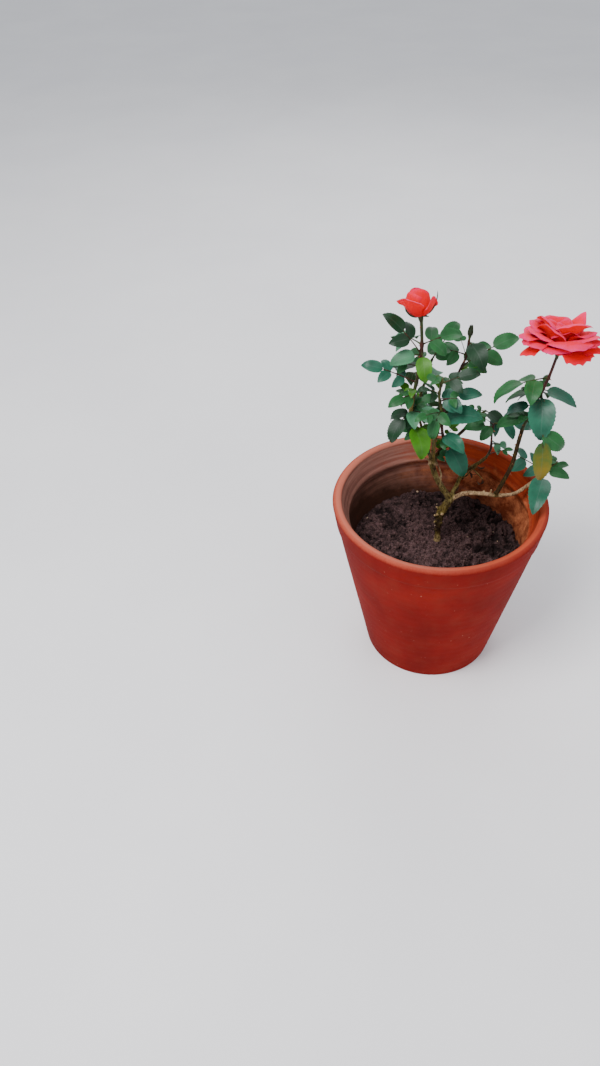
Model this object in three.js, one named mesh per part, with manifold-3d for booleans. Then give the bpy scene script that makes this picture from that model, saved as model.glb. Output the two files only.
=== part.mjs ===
import * as THREE from 'three';
import Module from 'manifold-3d';
import { mergeVertices } from 'three/addons/utils/BufferGeometryUtils.js';

// A rose bush in a clay pot. Millimetres, +Z up, origin at the centre of the pot's flat underside.

const wasm = await Module();
wasm.setup();

const { sin, cos, tan, acos, abs, min, max, hypot, PI } = Math;
const degree = PI / 180;
const nothing = 1e-6;

// The gap between pieces that meet
const clear = 0.3;

// Clay pot: a tapering body under a deeper collar with a rounded lip
const potHeight = 280;
const rimRadius = 152.5;
const footRadius = 97.5;
const collarDepth = 35;
const collarStep = 1.6;
const collarTaper = 4.5;
const wall = 11;
const floorThickness = 14;
const floorRound = 3;
const lipRound = 5;
const lipWidth = 13;
const footBevel = 2;
const ridgeRadius = 128.5;
const ridgeHeight = 3;
const ridgeLip = 1.5;
const ridgeUndercut = 10;
const potSides = 48;

// Soil: its level where the plant stands, how far out it is flat, and how it sinks to the wall
const soilLevel = 190;
const soilFlat = 34;
const soilDip = 3;
const soilSlope = 4;
const soilSides = 48;
const soilRings = 6;

// Clumps of soil: rows of them, each moved a little from its even place, up or down by chance.
// They fade out round the trunk and at the wall.
const clumpSpacing = 30;
const clumpJitter = 16;
const clumpHeight = 4.5;
const clumpWidth = 17;
const clumpSeed = 5;
const clumpRows = 5;
const smoothRadius = 20;
const smoothEdge = 14;

// Stems: their sides, and how many steps a tube has between two bends
const stemSides = 6;
const limbSteps = 2;

// Blades: rows of faces, thickness, width by length, the fold up from the midrib, the bend along
// it, the chance roll and turn, the rolls that are tried where it doesn't fit, how far its root is
// sunk in, and how far blades turn to the light and where it comes from
const bladeRows = 3;
const bladeThickness = 1.3;
const bladeWidth = 0.6;
const bladeFold = 14;
const bladeBend = 16;
const bladeRoll = 26;
const bladeTurn = 12;
const rollTries = [0, 24, -24, 46];
const rootSink = 0.8;
const lightTurn = 24;
const lightHeading = 265;

// Stalks and the pairs of leaflets on them, whose places and sizes go by the end leaflet's length
const stalkRadius = 1.25;
const stalkTaper = 0.75;
const shortestStalk = 6;
const pairGap = 0.4;
const pairStep = 0.72;
const pairNearest = 0.22;
const pairSize = 0.84;
const pairShrink = 0.08;
const pairSwing = 58;
const pairLean = 8;

// The leaves that the seeded rule adds: rise from the lowest to the highest, droop, leaflets, and
// how much their rise, heading and sizes are spread
const fillRise = [-34, -4];
const fillDroop = [18, 38];
const fillLeaflets = 3;
const riseSpread = 14;
const headingSpread = 20;
const sizeSpread = 0.2;

// How near a leaf may come to a limb, to another mass and to its own
const limbSpace = 3.2;
const massSpace = 8.5;
const ownSpace = 4;
const potSpace = 4;

const colours = {
  clay: 0xa8432c,
  soil: 0x3b3230,
  oldWood: 0x6d6238,
  greenWood: 0x5d6b34,
  redWood: 0x5a4430,
  leaf: 0x2c6b45,
};

// Boughs. A limb leaves its start and bends in even steps: lean is measured from straight up,
// heading from +X towards +Y, both in degrees. A knot is a swelling: where, how wide, how much.
const boughs = {
  trunk: {
    start: [3.3, 5.5, soilLevel + clear], length: 80, radii: [4.9, 4.6], sides: 8, colour: 'oldWood',
    lean: [1, 1, 7, 28, 32], heading: [180, 80, 51, 31, 10],
    knots: [[0, 0.12, 0.5], [0.7, 0.11, 0.35], [0.98, 0.09, 0.25]],
  },
  left_bough: {
    on: ['trunk', 0.97], length: 80, radii: [4.2, 3.6], sides: 8, colour: 'oldWood',
    lean: [30, 30, 27, 19, 7], heading: [175, 172, 167, 164, 141],
    knots: [[0.95, 0.09, 0.45]],
  },
  middle_bough: {
    on: ['trunk', 0.98], length: 82, radii: [3.2, 2.1], sides: 6, colour: 'oldWood',
    lean: [20, 32, 25, 42, 59, 64, 56], heading: [36, 36, 33, 21, 16, 14, 15],
    clearOf: ['left_bough'],
  },
  arching_bough: {
    on: ['trunk', 0.94], length: 152, radii: [3.3, 2.2], sides: 6, colour: 'oldWood',
    lean: [50, 90, 103, 90, 71, 64], heading: [346, 356, 2, 8, 24, 26],
    clearOf: ['left_bough', 'middle_bough'],
  },
  right_upright: {
    on: ['arching_bough', 0.47], length: 122, radii: [3, 2.6], sides: 6, colour: 'redWood',
    lean: [18, 14, 5, 6], heading: [352, 345, 334, 345],
  },
  back_bough: {
    on: ['left_bough', 0.88], length: 88, radii: [2.9, 2.1], sides: 6, colour: 'greenWood',
    lean: [46, 76, 66, 62, 61], heading: [44, 38, 33, 31, 31],
  },
};

// Masses of foliage. Each has one stem and keeps within reach of it. Leaves are rows of: where on
// the stem (0 to 1), heading, rise and droop in degrees, reach, length of the end leaflet, leaflets,
// and the width by length where it isn't the usual one. Fill is for the leaves that the seeded rule
// adds: how many, from where to where, first heading, turn, reach and leaflet length. Blades turn
// their faces to the light by lightTurn, and a mass may have its own.
const masses = {
  left_flower_shoot: {
    on: ['left_bough', 1], length: 218, radii: [3.2, 2.4], reach: 95, seed: 11,
    lean: [5, 52, 4, 12, 10, 6], heading: [173, 177, 107, 40, 57, 122],
    leaves: [
      [0.8, 165, 56, 16, 74, 34, 3], [0.8, 196, 8, 30, 44, 34, 1], [0.86, 13, 18, 20, 60, 34, 3],
      [0.82, 274, -22, 30, 44, 34, 1], [0.62, 175, 29, 14, 78, 28, 5], [0.54, 213, 14, 30, 42, 24, 3],
      [0.42, 226, 0, 60, 54, 36, 3], [0.36, 284, 8, 60, 64, 46, 1], [0.43, 325, 12, 30, 50, 36, 3],
    ],
    fill: { count: 3, from: 0.5, to: 0.86, heading: 62, turn: 30, reach: 66, blade: 32 },
    bloom: { kind: 'halfOpen', lean: 18, heading: 100 },
  },
  centre_shoot: {
    on: ['left_bough', 0.91], length: 164, radii: [2.7, 1.8], reach: 80, seed: 23,
    lean: [32, 12, 11, 8, 13, 6], heading: [262, 258, 305, 288, 203, 338],
    clearOf: ['back_bough', 'left_flower_shoot', 'back_shoot'],
    leaves: [
      [1, 120, 20, 10, 40, 32, 1], [0.95, 352, 30, 20, 52, 28, 3], [0.85, 210, 43, 20, 42, 22, 3],
      [0.78, 350, 26, 20, 56, 30, 5], [0.58, 328, 40, 34, 58, 50, 1], [0.44, 300, 22, 44, 52, 36, 1],
    ],
    fill: { count: 1, from: 0.7, to: 0.7, heading: 240, turn: 30, reach: 46, blade: 28 },
  },
  back_shoot: {
    on: ['left_bough', 0.87], length: 152, radii: [2.6, 1.7], reach: 90, seed: 37,
    lean: [46, 30, 26, 26, 23, 17], heading: [112, 122, 116, 73, 41, 36],
    clearOf: ['back_bough', 'left_flower_shoot'],
    leaves: [[1, 36, 50, 20, 66, 34, 5], [0.74, 60, 10, 30, 66, 34, 3]],
    fill: { count: 3, from: 0.45, to: 0.9, heading: 72, turn: 32, reach: 70, blade: 34 },
  },
  tall_bud_shoot: {
    on: ['back_bough', 0.36], length: 162, radii: [2.6, 1.7], reach: 95, seed: 41,
    lean: [17, 10, 20, 21, 22, 10], heading: [144, 82, 30, 35, 20, 48],
    leaves: [
      [0.97, 282, 20, 66, 52, 42, 1], [0.9, 20, 5, 10, 40, 24, 3], [0.76, 9, 34, 16, 86, 38, 5],
      [0.86, 190, 30, 20, 54, 28, 3], [0.04, 290, 10, 66, 62, 46, 1],
    ],
    fill: { count: 2, from: 0.4, to: 0.75, heading: 75, turn: 62, reach: 72, blade: 36 },
    bloom: { kind: 'bud', lean: 12, heading: 60 },
  },
  back_spray: {
    on: ['back_bough', 1], length: 20, radii: [2, 1.6], reach: 95, seed: 53,
    lean: [62, 66], heading: [31, 20],
    leaves: [[1, 312, -2, 24, 34, 28, 1, 0.78], [0.6, 352, -22, 14, 62, 32, 3]],
    fill: { count: 0 },
  },
  middle_shoot: {
    on: ['middle_bough', 1], length: 54, radii: [2, 1.4], reach: 70, seed: 61,
    lean: [36, 10, 7, 9], heading: [40, 89, 96, 55],
    leaves: [[1, 354, 4, 20, 58, 30, 3], [0.9, 176, 14, 30, 42, 30, 3], [0.4, 10, -5, 50, 36, 22, 3]],
    fill: { count: 0 },
  },
  right_flower_shoot: {
    on: ['right_upright', 1], length: 118, radii: [2.5, 2.1], reach: 110, seed: 71,
    lean: [14, 16, 14, 9], heading: [352, 348, 345, 342], lightTurn: 0,
    leaves: [
      [0.72, 192, 4, 28, 80, 44, 3], [0.52, 172, -4, 12, 48, 38, 1], [0.56, 333, -2, 16, 50, 44, 1],
      [0.54, 262, -16, 42, 68, 56, 1], [0.5, 268, -26, 52, 118, 46, 3], [0.34, 168, -8, 14, 40, 32, 1],
      [0.16, 178, -2, 18, 44, 38, 1],
    ],
    fill: { count: 2, from: 0.24, to: 0.5, heading: 48, turn: 56, reach: 62, blade: 36 },
    bloom: { kind: 'open', lean: 14, heading: 70 },
  },
  rim_shoot: {
    on: ['arching_bough', 1], length: 26, radii: [2.1, 1.5], reach: 112, seed: 83,
    lean: [62, 60], heading: [26, 20],
    leaves: [
      [0.1, 176, 38, 12, 84, 33, 5], [0.16, 328, 14, 20, 33, 30, 3], [0.2, 247, 34, 60, 106, 62, 1, 0.46],
    ],
    fill: { count: 0 },
  },
};

// Blooms: the radius and height of the heart and how high it sits, the petals' fold, and rings of
// petals as count, length, width, rise, bend, how far from the axis, and the first one's heading
const blooms = {
  open: {
    heart: [13, 20], seat: 9.8, fold: 6,
    rings: [[7, 55, 42, 24, 72, 4, 20], [6, 46, 38, 52, 64, 4, 0], [5, 38, 30, 76, 50, 3, 30]],
  },
  halfOpen: {
    heart: [8, 16], seat: 9.8, fold: 12,
    rings: [[5, 32, 25, 64, -30, 3, 10], [2, 31, 15, 42, -14, 4, 4]],
  },
  bud: { heart: [3.8, 8], seat: 2, fold: 0, rings: [] },
};
const petalRows = 4;
const petalThickness = 1.5;
const petalTurn = 12;
const petalRise = 8;
const ringStep = 1.5;
const heartRise = 0.7;
const hip = { radius: 5.2, height: 7, rise: 4.2 };
const smallestHip = 5;

// Same stream of numbers for the same seed
function makeRandom(seed) {
  let state = seed;
  return () => {
    state = (state + 0x6d2b79f5) >>> 0;
    let mixed = Math.imul(state ^ (state >>> 15), state | 1);
    mixed ^= mixed + Math.imul(mixed ^ (mixed >>> 7), mixed | 61);
    return ((mixed ^ (mixed >>> 14)) >>> 0) / 4294967296;
  };
}

function vector(x, y, z) {
  return new THREE.Vector3(x, y, z);
}

// A unit vector from its rise above the level and its heading
function pointing(rise, heading) {
  const level = cos(rise * degree);
  return vector(level * cos(heading * degree), level * sin(heading * degree), sin(rise * degree));
}

function lerp(a, b, t) {
  return a + (b - a) * t;
}

// The chord of an arc of unit length that turns by an angle
function chordOf(turn) {
  return abs(turn) < nothing ? 1 : sin(turn / 2) / (turn / 2);
}

// The points of a limb, one at each of its bends
function limbPoints(limb, start) {
  const step = limb.length / limb.lean.length;
  const points = [start.clone()];
  limb.lean.forEach((lean, i) => {
    points.push(points[i].clone().addScaledVector(pointing(90 - lean, limb.heading[i]), step));
  });
  return points;
}

// The radius of a limb at t, from its taper and its knots
function limbRadius(limb, t) {
  let radius = lerp(limb.radii[0], limb.radii[1], t);
  for (const [place, width, swell] of limb.knots || []) {
    radius += limb.radii[0] * swell * Math.exp(-(((t - place) / width) ** 2));
  }
  return radius;
}

function positionsOnly(geometry) {
  geometry.deleteAttribute('normal');
  geometry.deleteAttribute('uv');
  return mergeVertices(geometry);
}

// A closed tapering tube: a cylinder bent along the curve through the points
function bentTube(points, radiusAt, sides, steps) {
  const curve = new THREE.CatmullRomCurve3(points);
  const frames = curve.computeFrenetFrames(steps, false);
  const geometry = positionsOnly(new THREE.CylinderGeometry(1, 1, 1, sides, steps));
  const place = geometry.attributes.position;
  for (let i = 0; i < place.count; i += 1) {
    const step = Math.round((0.5 + place.getY(i)) * steps);
    const t = step / steps;
    const centre = curve.getPointAt(t);
    const radius = radiusAt(t);
    centre.addScaledVector(frames.normals[step], -place.getX(i) * radius);
    centre.addScaledVector(frames.binormals[step], place.getZ(i) * radius);
    place.setXYZ(i, centre.x, centre.y, centre.z);
  }
  return geometry;
}

function toSolid(geometry) {
  const place = geometry.attributes.position.array;
  const index = geometry.index.array;
  const solid = new wasm.Manifold(new wasm.Mesh({
    numProp: 3,
    vertProperties: new Float32Array(place),
    triVerts: new Uint32Array(index),
  }));
  if (solid.volume() >= 0) {
    return solid;
  }
  const turned = new Uint32Array(index);
  for (let i = 0; i < turned.length; i += 3) {
    turned[i] = index[i + 1];
    turned[i + 1] = index[i];
  }
  return new wasm.Manifold(new wasm.Mesh({
    numProp: 3,
    vertProperties: new Float32Array(place),
    triVerts: turned,
  }));
}

// The largest of the bodies, with any scrap that a cut has loosened left off
function largestBody(solid) {
  const bodies = solid.decompose();
  bodies.sort((a, b) => b.volume() - a.volume());
  return bodies[0];
}

function toGeometry(solid) {
  const mesh = solid.getMesh();
  const geometry = new THREE.BufferGeometry();
  geometry.setAttribute('position', new THREE.BufferAttribute(mesh.vertProperties, 3));
  geometry.setIndex(new THREE.BufferAttribute(mesh.triVerts, 1));
  return geometry;
}

// A blade: a sphere drawn out into a pointed lens that bends down along its length and folds up
// from its midrib. Its ring of four corners is the two edges, the midrib and the back.
function bladeGeometry({ root, along, up, length, width, bend, fold, thickness }, rows) {
  const side = vector(0, 0, 0).crossVectors(along, up).normalize();
  const geometry = positionsOnly(new THREE.SphereGeometry(1, 4, rows));
  const place = geometry.attributes.position;
  for (let i = 0; i < place.count; i += 1) {
    const polar = acos(max(-1, min(1, place.getY(i))));
    const ring = max(sin(polar), nothing);
    const edge = place.getX(i) / ring;
    const face = place.getZ(i) / ring;
    const reach = (1 - cos(polar)) / 2;
    const halfWidth = (width / 2) * sin(polar) * (1.1 + 0.2 * cos(polar));
    const turn = bend * degree * reach;
    const chord = chordOf(turn);
    const forward = length * reach * chord * cos(turn / 2);
    const down = length * reach * chord * sin(turn / 2);
    const halfThickness = (thickness / 2) * min(1, ring * 1.4);
    const lift = abs(edge) * halfWidth * tan(fold * degree) + face * halfThickness;
    const point = root.clone();
    point.addScaledVector(along, forward + lift * sin(turn));
    point.addScaledVector(up, lift * cos(turn) - down);
    point.addScaledVector(side, edge * halfWidth);
    place.setXYZ(i, point.x, point.y, point.z);
  }
  return geometry;
}

// Places on a blade that stand for it when leaves are kept apart
function bladeSamples(blade) {
  const side = vector(0, 0, 0).crossVectors(blade.along, blade.up).normalize();
  const samples = [];
  for (const reach of [0.2, 0.4, 0.6, 0.8, 1]) {
    const turn = blade.bend * degree * reach;
    const halfWidth = blade.width * 0.8 * Math.sqrt(reach * (1 - reach));
    for (const edge of reach === 1 ? [0] : [-1, 0, 1]) {
      const point = blade.root.clone();
      point.addScaledVector(blade.along, blade.length * reach * cos(turn / 2));
      point.addScaledVector(blade.up, -blade.length * reach * sin(turn / 2));
      point.addScaledVector(side, edge * halfWidth);
      samples.push(point);
    }
  }
  return samples;
}

// Limbs and leaves that are already in their places
const placedLimbs = [];
const placedBlades = [];

function distanceToLimb(point, points) {
  const nearest = vector(0, 0, 0);
  const line = new THREE.Line3();
  let best = Infinity;
  for (let i = 1; i < points.length; i += 1) {
    line.set(points[i - 1], points[i]);
    line.closestPointToPoint(point, true, nearest);
    best = min(best, nearest.distanceTo(point));
  }
  return best;
}

function wallRadius(z) {
  return lerp(footRadius, rimRadius, z / potHeight);
}

// Whether a point is in or too near the pot or the soil
function touchesPot(point) {
  if (point.z > potHeight + potSpace) {
    return false;
  }
  const radius = hypot(point.x, point.y);
  const inside = radius < min(ridgeRadius, wallRadius(point.z) - wall) - potSpace;
  const outside = radius > wallRadius(point.z) + potSpace;
  return !(outside || (inside && point.z > soilLevel + potSpace));
}

// A blade fits if it stays in its mass's space and clear of the pot, the limbs and other leaves
function fits(blade, massName, stemPoints, space) {
  const samples = bladeSamples(blade);
  for (const sample of samples) {
    if (touchesPot(sample) || distanceToLimb(sample, stemPoints) > space) {
      return false;
    }
    for (const limb of placedLimbs) {
      if (limb.name !== massName && distanceToLimb(sample, limb.points) < limb.radius + limbSpace) {
        return false;
      }
    }
    for (const other of placedBlades) {
      const apart = other.mass === massName ? ownSpace : massSpace;
      const tooNear = (place) => place.distanceTo(sample) < apart;
      if (other.leaf !== blade.leaf && other.samples.some(tooNear)) {
        return false;
      }
    }
  }
  placedBlades.push({ mass: massName, leaf: blade.leaf, samples });
  return true;
}

// A leaf: a stalk that leaves the stem and droops, an end leaflet and pairs of leaflets beside it.
// Returns the stalk's points and the blades that fit.
function growLeaf(row, rootPoint, leafName, massName, stemPoints, space, random) {
  const [, heading, rise, droop, reach, blade, leaflets, breadth = bladeWidth] = row;
  const stalkLength = max(reach - blade, shortestStalk);
  const pointAt = (distance) => {
    const turn = droop * (distance / reach);
    const step = pointing(rise - turn / 2, heading);
    return rootPoint.clone().addScaledVector(step, distance * chordOf(turn * degree));
  };
  const sideways = vector(-sin(heading * degree), cos(heading * degree), 0);
  const blades = [];
  const tryBlade = (distance, swing, length, lean) => {
    const base = pointAt(distance);
    const forward = pointing(rise - (droop * distance) / reach, heading);
    const { lightTurn: turnBy = lightTurn } = masses[massName];
    const toLight = turnBy * sin((heading - lightHeading) * degree);
    const roll = toLight + (random() - 0.5) * bladeRoll;
    const turn = swing + (random() - 0.5) * bladeTurn * (swing ? 1 : 0.4);
    const sink = swing ? rootSink : rootSink * 3;
    for (const extra of rollTries) {
      const upright = vector(0, 0, 0).crossVectors(forward, sideways).normalize();
      upright.applyAxisAngle(forward, (roll + extra) * degree);
      const along = forward.clone().applyAxisAngle(upright, turn * degree);
      const across = vector(0, 0, 0).crossVectors(along, upright).normalize();
      along.applyAxisAngle(across, -lean * degree);
      const up = vector(0, 0, 0).crossVectors(across, along).normalize();
      const candidate = {
        leaf: leafName, root: base.clone().addScaledVector(along, -sink), along, up,
        length: length + sink, width: length * breadth, bend: bladeBend + (droop * length) / reach,
        fold: bladeFold, thickness: bladeThickness,
      };
      if (fits(candidate, massName, stemPoints, space)) {
        blades.push(candidate);
        return;
      }
    }
  };
  tryBlade(stalkLength, 0, blade, 0);
  const pairs = (leaflets - 1) / 2;
  for (let pair = 0; pair < pairs; pair += 1) {
    const distance = max(stalkLength - blade * (pairGap + pairStep * pair), stalkLength * pairNearest);
    const length = blade * (pairSize - pairShrink * pair);
    tryBlade(distance, pairSwing, length, pairLean);
    tryBlade(distance, -pairSwing, length, pairLean);
  }
  const points = [0, 0.5, 1].map((t) => pointAt(stalkLength * t));
  return { points, blades };
}

// The rows that the seeded rule adds to those that are given
function fillRows(fill, random) {
  const rows = [];
  for (let i = 0; i < fill.count; i += 1) {
    const t = fill.count > 1 ? i / (fill.count - 1) : 0;
    rows.push([
      lerp(fill.from, fill.to, t),
      fill.heading + fill.turn * i + (random() - 0.5) * headingSpread,
      lerp(...fillRise, t) + (random() - 0.5) * riseSpread,
      lerp(...fillDroop, random()),
      fill.reach * (1 + (random() - 0.5) * sizeSpread),
      fill.blade * (1 + (random() - 0.5) * sizeSpread),
      fillLeaflets,
    ]);
  }
  return rows;
}

// An egg of six sides on a bloom's axis
function eggGeometry(radius, height, centre, upright) {
  const geometry = positionsOnly(new THREE.SphereGeometry(1, 6, 4));
  geometry.scale(radius, height, radius);
  geometry.applyQuaternion(upright);
  geometry.translate(centre.x, centre.y, centre.z);
  return geometry;
}

// One petal of a ring: it points outward and rises from the bloom's own level
function petalGeometry(bloom, ring, base, upright, heading, rise) {
  const [, length, width, , bend, out] = ring;
  const outward = vector(cos(heading * degree), 0, sin(heading * degree));
  const along = outward.clone().multiplyScalar(cos(rise * degree));
  along.y = sin(rise * degree);
  const up = vector(0, 1, 0).addScaledVector(along, -along.y).normalize();
  for (const direction of [outward, along, up]) {
    direction.applyQuaternion(upright);
  }
  const root = base.clone().addScaledVector(outward, out);
  const shape = { root, along, up, length, width, bend, fold: bloom.fold, thickness: petalThickness };
  return bladeGeometry(shape, petalRows);
}

// A bloom on the tip of a stem: a hip, a heart on it, and rings of petals round the heart
function bloomParts({ kind, lean, heading }, tip, random) {
  const bloom = blooms[kind];
  const axis = pointing(90 - lean, heading);
  const upright = new THREE.Quaternion().setFromUnitVectors(vector(0, 1, 0), axis);
  const onAxis = (height) => tip.clone().addScaledVector(axis, height);
  const [heartRadius, heartHeight] = bloom.heart;
  const heartCentre = onAxis(bloom.seat + heartHeight * heartRise);
  const parts = [eggGeometry(heartRadius, heartHeight, heartCentre, upright)];
  if (heartRadius > smallestHip) {
    parts.push(eggGeometry(hip.radius, hip.height, onAxis(hip.rise), upright));
  }
  bloom.rings.forEach((ring, i) => {
    const [count, , , meanRise, , , first] = ring;
    const base = onAxis(bloom.seat + ringStep * i);
    for (let petal = 0; petal < count; petal += 1) {
      const petalHeading = first + (360 * petal) / count + (random() - 0.5) * petalTurn;
      const rise = meanRise + (random() - 0.5) * petalRise;
      parts.push(petalGeometry(bloom, ring, base, upright, petalHeading, rise));
    }
  });
  return parts.map(toSolid);
}

function join(solids) {
  return solids.reduce((whole, solid) => whole.add(solid));
}

// Limbs grown by the clearance, which their neighbours are cut by
const grownLimbs = {};

function growLimb(name, points, limb) {
  const steps = limb.lean.length * limbSteps;
  const past = -(clear / limb.length) * limb.lean.length;
  const last = points.length - 1;
  const first = points[0].clone().lerp(points[1], past);
  const end = points[last].clone().lerp(points[last - 1], past);
  const stretched = [first, ...points.slice(1, -1), end];
  const radiusAt = (t) => limbRadius(limb, t) / cos(PI / limb.sides) + clear;
  grownLimbs[name] = toSolid(bentTube(stretched, radiusAt, limb.sides * 2, steps));
}

// A limb or mass, cut clear of its parent and of the limbs that it is to stay clear of
function cutClear(solid, limb) {
  const parent = limb.on ? [limb.on[0]] : [];
  const names = [...parent, ...(limb.clearOf || [])];
  const cut = names.reduce((rest, name) => rest.subtract(grownLimbs[name]), solid);
  return largestBody(cut);
}

function lathe(profile, sides) {
  const points = profile.map(([radius, height]) => new THREE.Vector2(radius, height));
  const geometry = new THREE.LatheGeometry(points, sides);
  geometry.rotateX(PI / 2);
  return toGeometry(toSolid(positionsOnly(geometry)));
}

// The outside of the body below the collar, and the inside of the wall
const collarBottom = potHeight - collarDepth;
const collarRadius = rimRadius - collarTaper;
const bodyRadius = collarRadius - collarStep;

function outerAt(z) {
  return lerp(footRadius, bodyRadius, z / collarBottom);
}

function innerAt(z) {
  return outerAt(z) - wall;
}

// The lip's rounded top, from outside to inside
function lipProfile() {
  const steps = 4;
  const profile = [];
  for (let i = 0; i <= steps; i += 1) {
    const angle = (i / steps) * PI;
    const radius = rimRadius - (lipWidth / 2) * (1 - cos(angle));
    profile.push([radius, potHeight - lipRound * (1 - sin(angle))]);
  }
  return profile;
}

function potGeometry() {
  const ridge = collarBottom + collarStep;
  const undercut = collarBottom - ridgeUndercut;
  const floorEdge = floorThickness + floorRound;
  return lathe([
    [0, 0], [footRadius - footBevel, 0], [footRadius, footBevel],
    [bodyRadius, collarBottom], [collarRadius, ridge],
    ...lipProfile(),
    [ridgeRadius + ridgeLip, ridge + ridgeHeight], [ridgeRadius, ridge], [innerAt(undercut), undercut],
    [innerAt(floorEdge), floorEdge], [innerAt(floorThickness) - floorRound, floorThickness],
    [0, floorThickness],
  ], potSides);
}

// The clumps, as rows of x, y and height
function clumpPlaces() {
  const random = makeRandom(clumpSeed);
  const places = [];
  for (let row = -clumpRows; row <= clumpRows; row += 1) {
    for (let column = -clumpRows; column <= clumpRows; column += 1) {
      const shift = abs(row % 2) / 2;
      const x = (column + shift) * clumpSpacing + (random() - 0.5) * clumpJitter;
      const y = (row * clumpSpacing * Math.sqrt(3)) / 2 + (random() - 0.5) * clumpJitter;
      places.push([x, y, (random() * 2 - 1) * clumpHeight]);
    }
  }
  return places;
}

// How far the clumps raise the soil at a place, out to the edge's radius
function clumpRise(places, x, y, edge) {
  const radius = hypot(x, y);
  const nearTrunk = min(1, max(0, (radius - smoothRadius) / smoothRadius));
  const nearWall = min(1, max(0, (edge - radius) / smoothEdge));
  const rise = places.reduce((sum, [atX, atY, height]) => {
    return sum + height * Math.exp(-((atX - x) ** 2 + (atY - y) ** 2) / clumpWidth ** 2);
  }, 0);
  return rise * nearTrunk * nearWall;
}

function soilGeometry() {
  const bottom = floorThickness + clear;
  const rim = soilLevel - soilDip;
  const side = clear * 1.5;
  const wallAt = (z) => innerAt(z) - side;
  const edge = wallAt(rim);
  const shoulder = lerp(soilFlat, edge, 0.6);
  const top = [[shoulder, soilLevel - soilSlope], [soilFlat, soilLevel]];
  const rings = [];
  for (let i = 1; i < soilRings; i += 1) {
    rings.push(lerp(edge, soilFlat, i / soilRings));
  }
  const profile = rings.map((radius) => {
    const [outer, inner] = radius > shoulder ? [[edge, rim], top[0]] : top;
    return [radius, lerp(inner[1], outer[1], (radius - inner[0]) / (outer[0] - inner[0]))];
  });
  const points = [
    [0, bottom], [wallAt(floorThickness) - floorRound, bottom],
    [wallAt(bottom + floorRound), bottom + floorRound], [edge, rim],
    ...profile, [soilFlat, soilLevel], [smoothRadius, soilLevel], [0, soilLevel],
  ].map(([radius, height]) => new THREE.Vector2(radius, height));
  const geometry = positionsOnly(new THREE.LatheGeometry(points, soilSides).rotateX(PI / 2));
  const place = geometry.attributes.position;
  const clumps = clumpPlaces();
  for (let i = 0; i < place.count; i += 1) {
    const [x, y, z] = [place.getX(i), place.getY(i), place.getZ(i)];
    if (z > rim - soilSlope && hypot(x, y) < edge - clear) {
      place.setZ(i, z + clumpRise(clumps, x, y, edge));
    }
  }
  return toGeometry(toSolid(geometry));
}

const bush = new THREE.Group();

function addPiece(name, geometry, colour, roughness) {
  const material = new THREE.MeshStandardMaterial({ color: colour, roughness, metalness: 0 });
  const mesh = new THREE.Mesh(geometry, material);
  mesh.name = name;
  bush.add(mesh);
}

// The line of each limb by its name: the next ones start on it
const limbLines = {};

function placeLimb(name, limb) {
  const start = limb.start ? vector(...limb.start) : limbLines[limb.on[0]].getPointAt(limb.on[1]);
  const points = limbPoints(limb, start);
  limbLines[name] = new THREE.CatmullRomCurve3(points);
  placedLimbs.push({ name, points, radius: max(...limb.radii) });
  growLimb(name, points, limb);
  return points;
}

function limbSolid(points, limb) {
  const steps = limb.lean.length * limbSteps;
  return toSolid(bentTube(points, (t) => limbRadius(limb, t), limb.sides, steps));
}

function addBoughs() {
  for (const [name, limb] of Object.entries(boughs)) {
    const points = placeLimb(name, limb);
    addPiece(name, toGeometry(cutClear(limbSolid(points, limb), limb)), colours[limb.colour], 0.8);
  }
}

// A mass: its stem, its leaves on their stalks, and its bloom, all in one
function massSolid(name, mass, points) {
  const random = makeRandom(mass.seed);
  const parts = [limbSolid(points, mass)];
  const rows = [...mass.leaves, ...fillRows(mass.fill, random)];
  rows.forEach((row, i) => {
    const root = limbLines[name].getPointAt(row[0]);
    const leaf = growLeaf(row, root, `${name}${i}`, name, points, mass.reach, random);
    if (leaf.blades.length) {
      const radiusAt = (t) => stalkRadius * lerp(1, stalkTaper, t);
      parts.push(toSolid(bentTube(leaf.points, radiusAt, 3, 2)));
      leaf.blades.forEach((blade) => parts.push(toSolid(bladeGeometry(blade, bladeRows))));
    }
  });
  if (mass.bloom) {
    parts.push(...bloomParts(mass.bloom, points[points.length - 1], random));
  }
  return cutClear(join(parts), mass);
}

function addMasses() {
  const stems = {};
  for (const [name, mass] of Object.entries(masses)) {
    mass.sides = stemSides;
    stems[name] = placeLimb(name, mass);
  }
  for (const [name, mass] of Object.entries(masses)) {
    addPiece(name, toGeometry(massSolid(name, mass, stems[name])), colours.leaf, 0.55);
  }
}

addPiece('pot', potGeometry(), colours.clay, 0.85);
addPiece('soil', soilGeometry(), colours.soil, 0.95);
addBoughs();
addMasses();

export default bush;
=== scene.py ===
from math import cos, dist, exp, hypot, pi, sin, sqrt, tan
import bpy
import numpy as np
from mathutils import Matrix, Vector, noise


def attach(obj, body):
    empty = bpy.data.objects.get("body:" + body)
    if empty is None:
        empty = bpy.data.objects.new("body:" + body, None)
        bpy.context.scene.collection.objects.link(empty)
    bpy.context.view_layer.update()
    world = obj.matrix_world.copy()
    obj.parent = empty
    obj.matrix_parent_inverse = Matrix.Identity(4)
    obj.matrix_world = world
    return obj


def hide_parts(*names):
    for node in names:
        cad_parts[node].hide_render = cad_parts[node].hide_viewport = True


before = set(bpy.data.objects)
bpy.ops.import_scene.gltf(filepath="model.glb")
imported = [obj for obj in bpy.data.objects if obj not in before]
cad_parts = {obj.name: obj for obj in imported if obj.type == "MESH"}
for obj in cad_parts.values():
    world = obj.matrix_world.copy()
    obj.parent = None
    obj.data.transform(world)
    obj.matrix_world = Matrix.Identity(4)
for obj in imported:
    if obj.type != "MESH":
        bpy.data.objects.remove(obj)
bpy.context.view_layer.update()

degree = pi / 180
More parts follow.
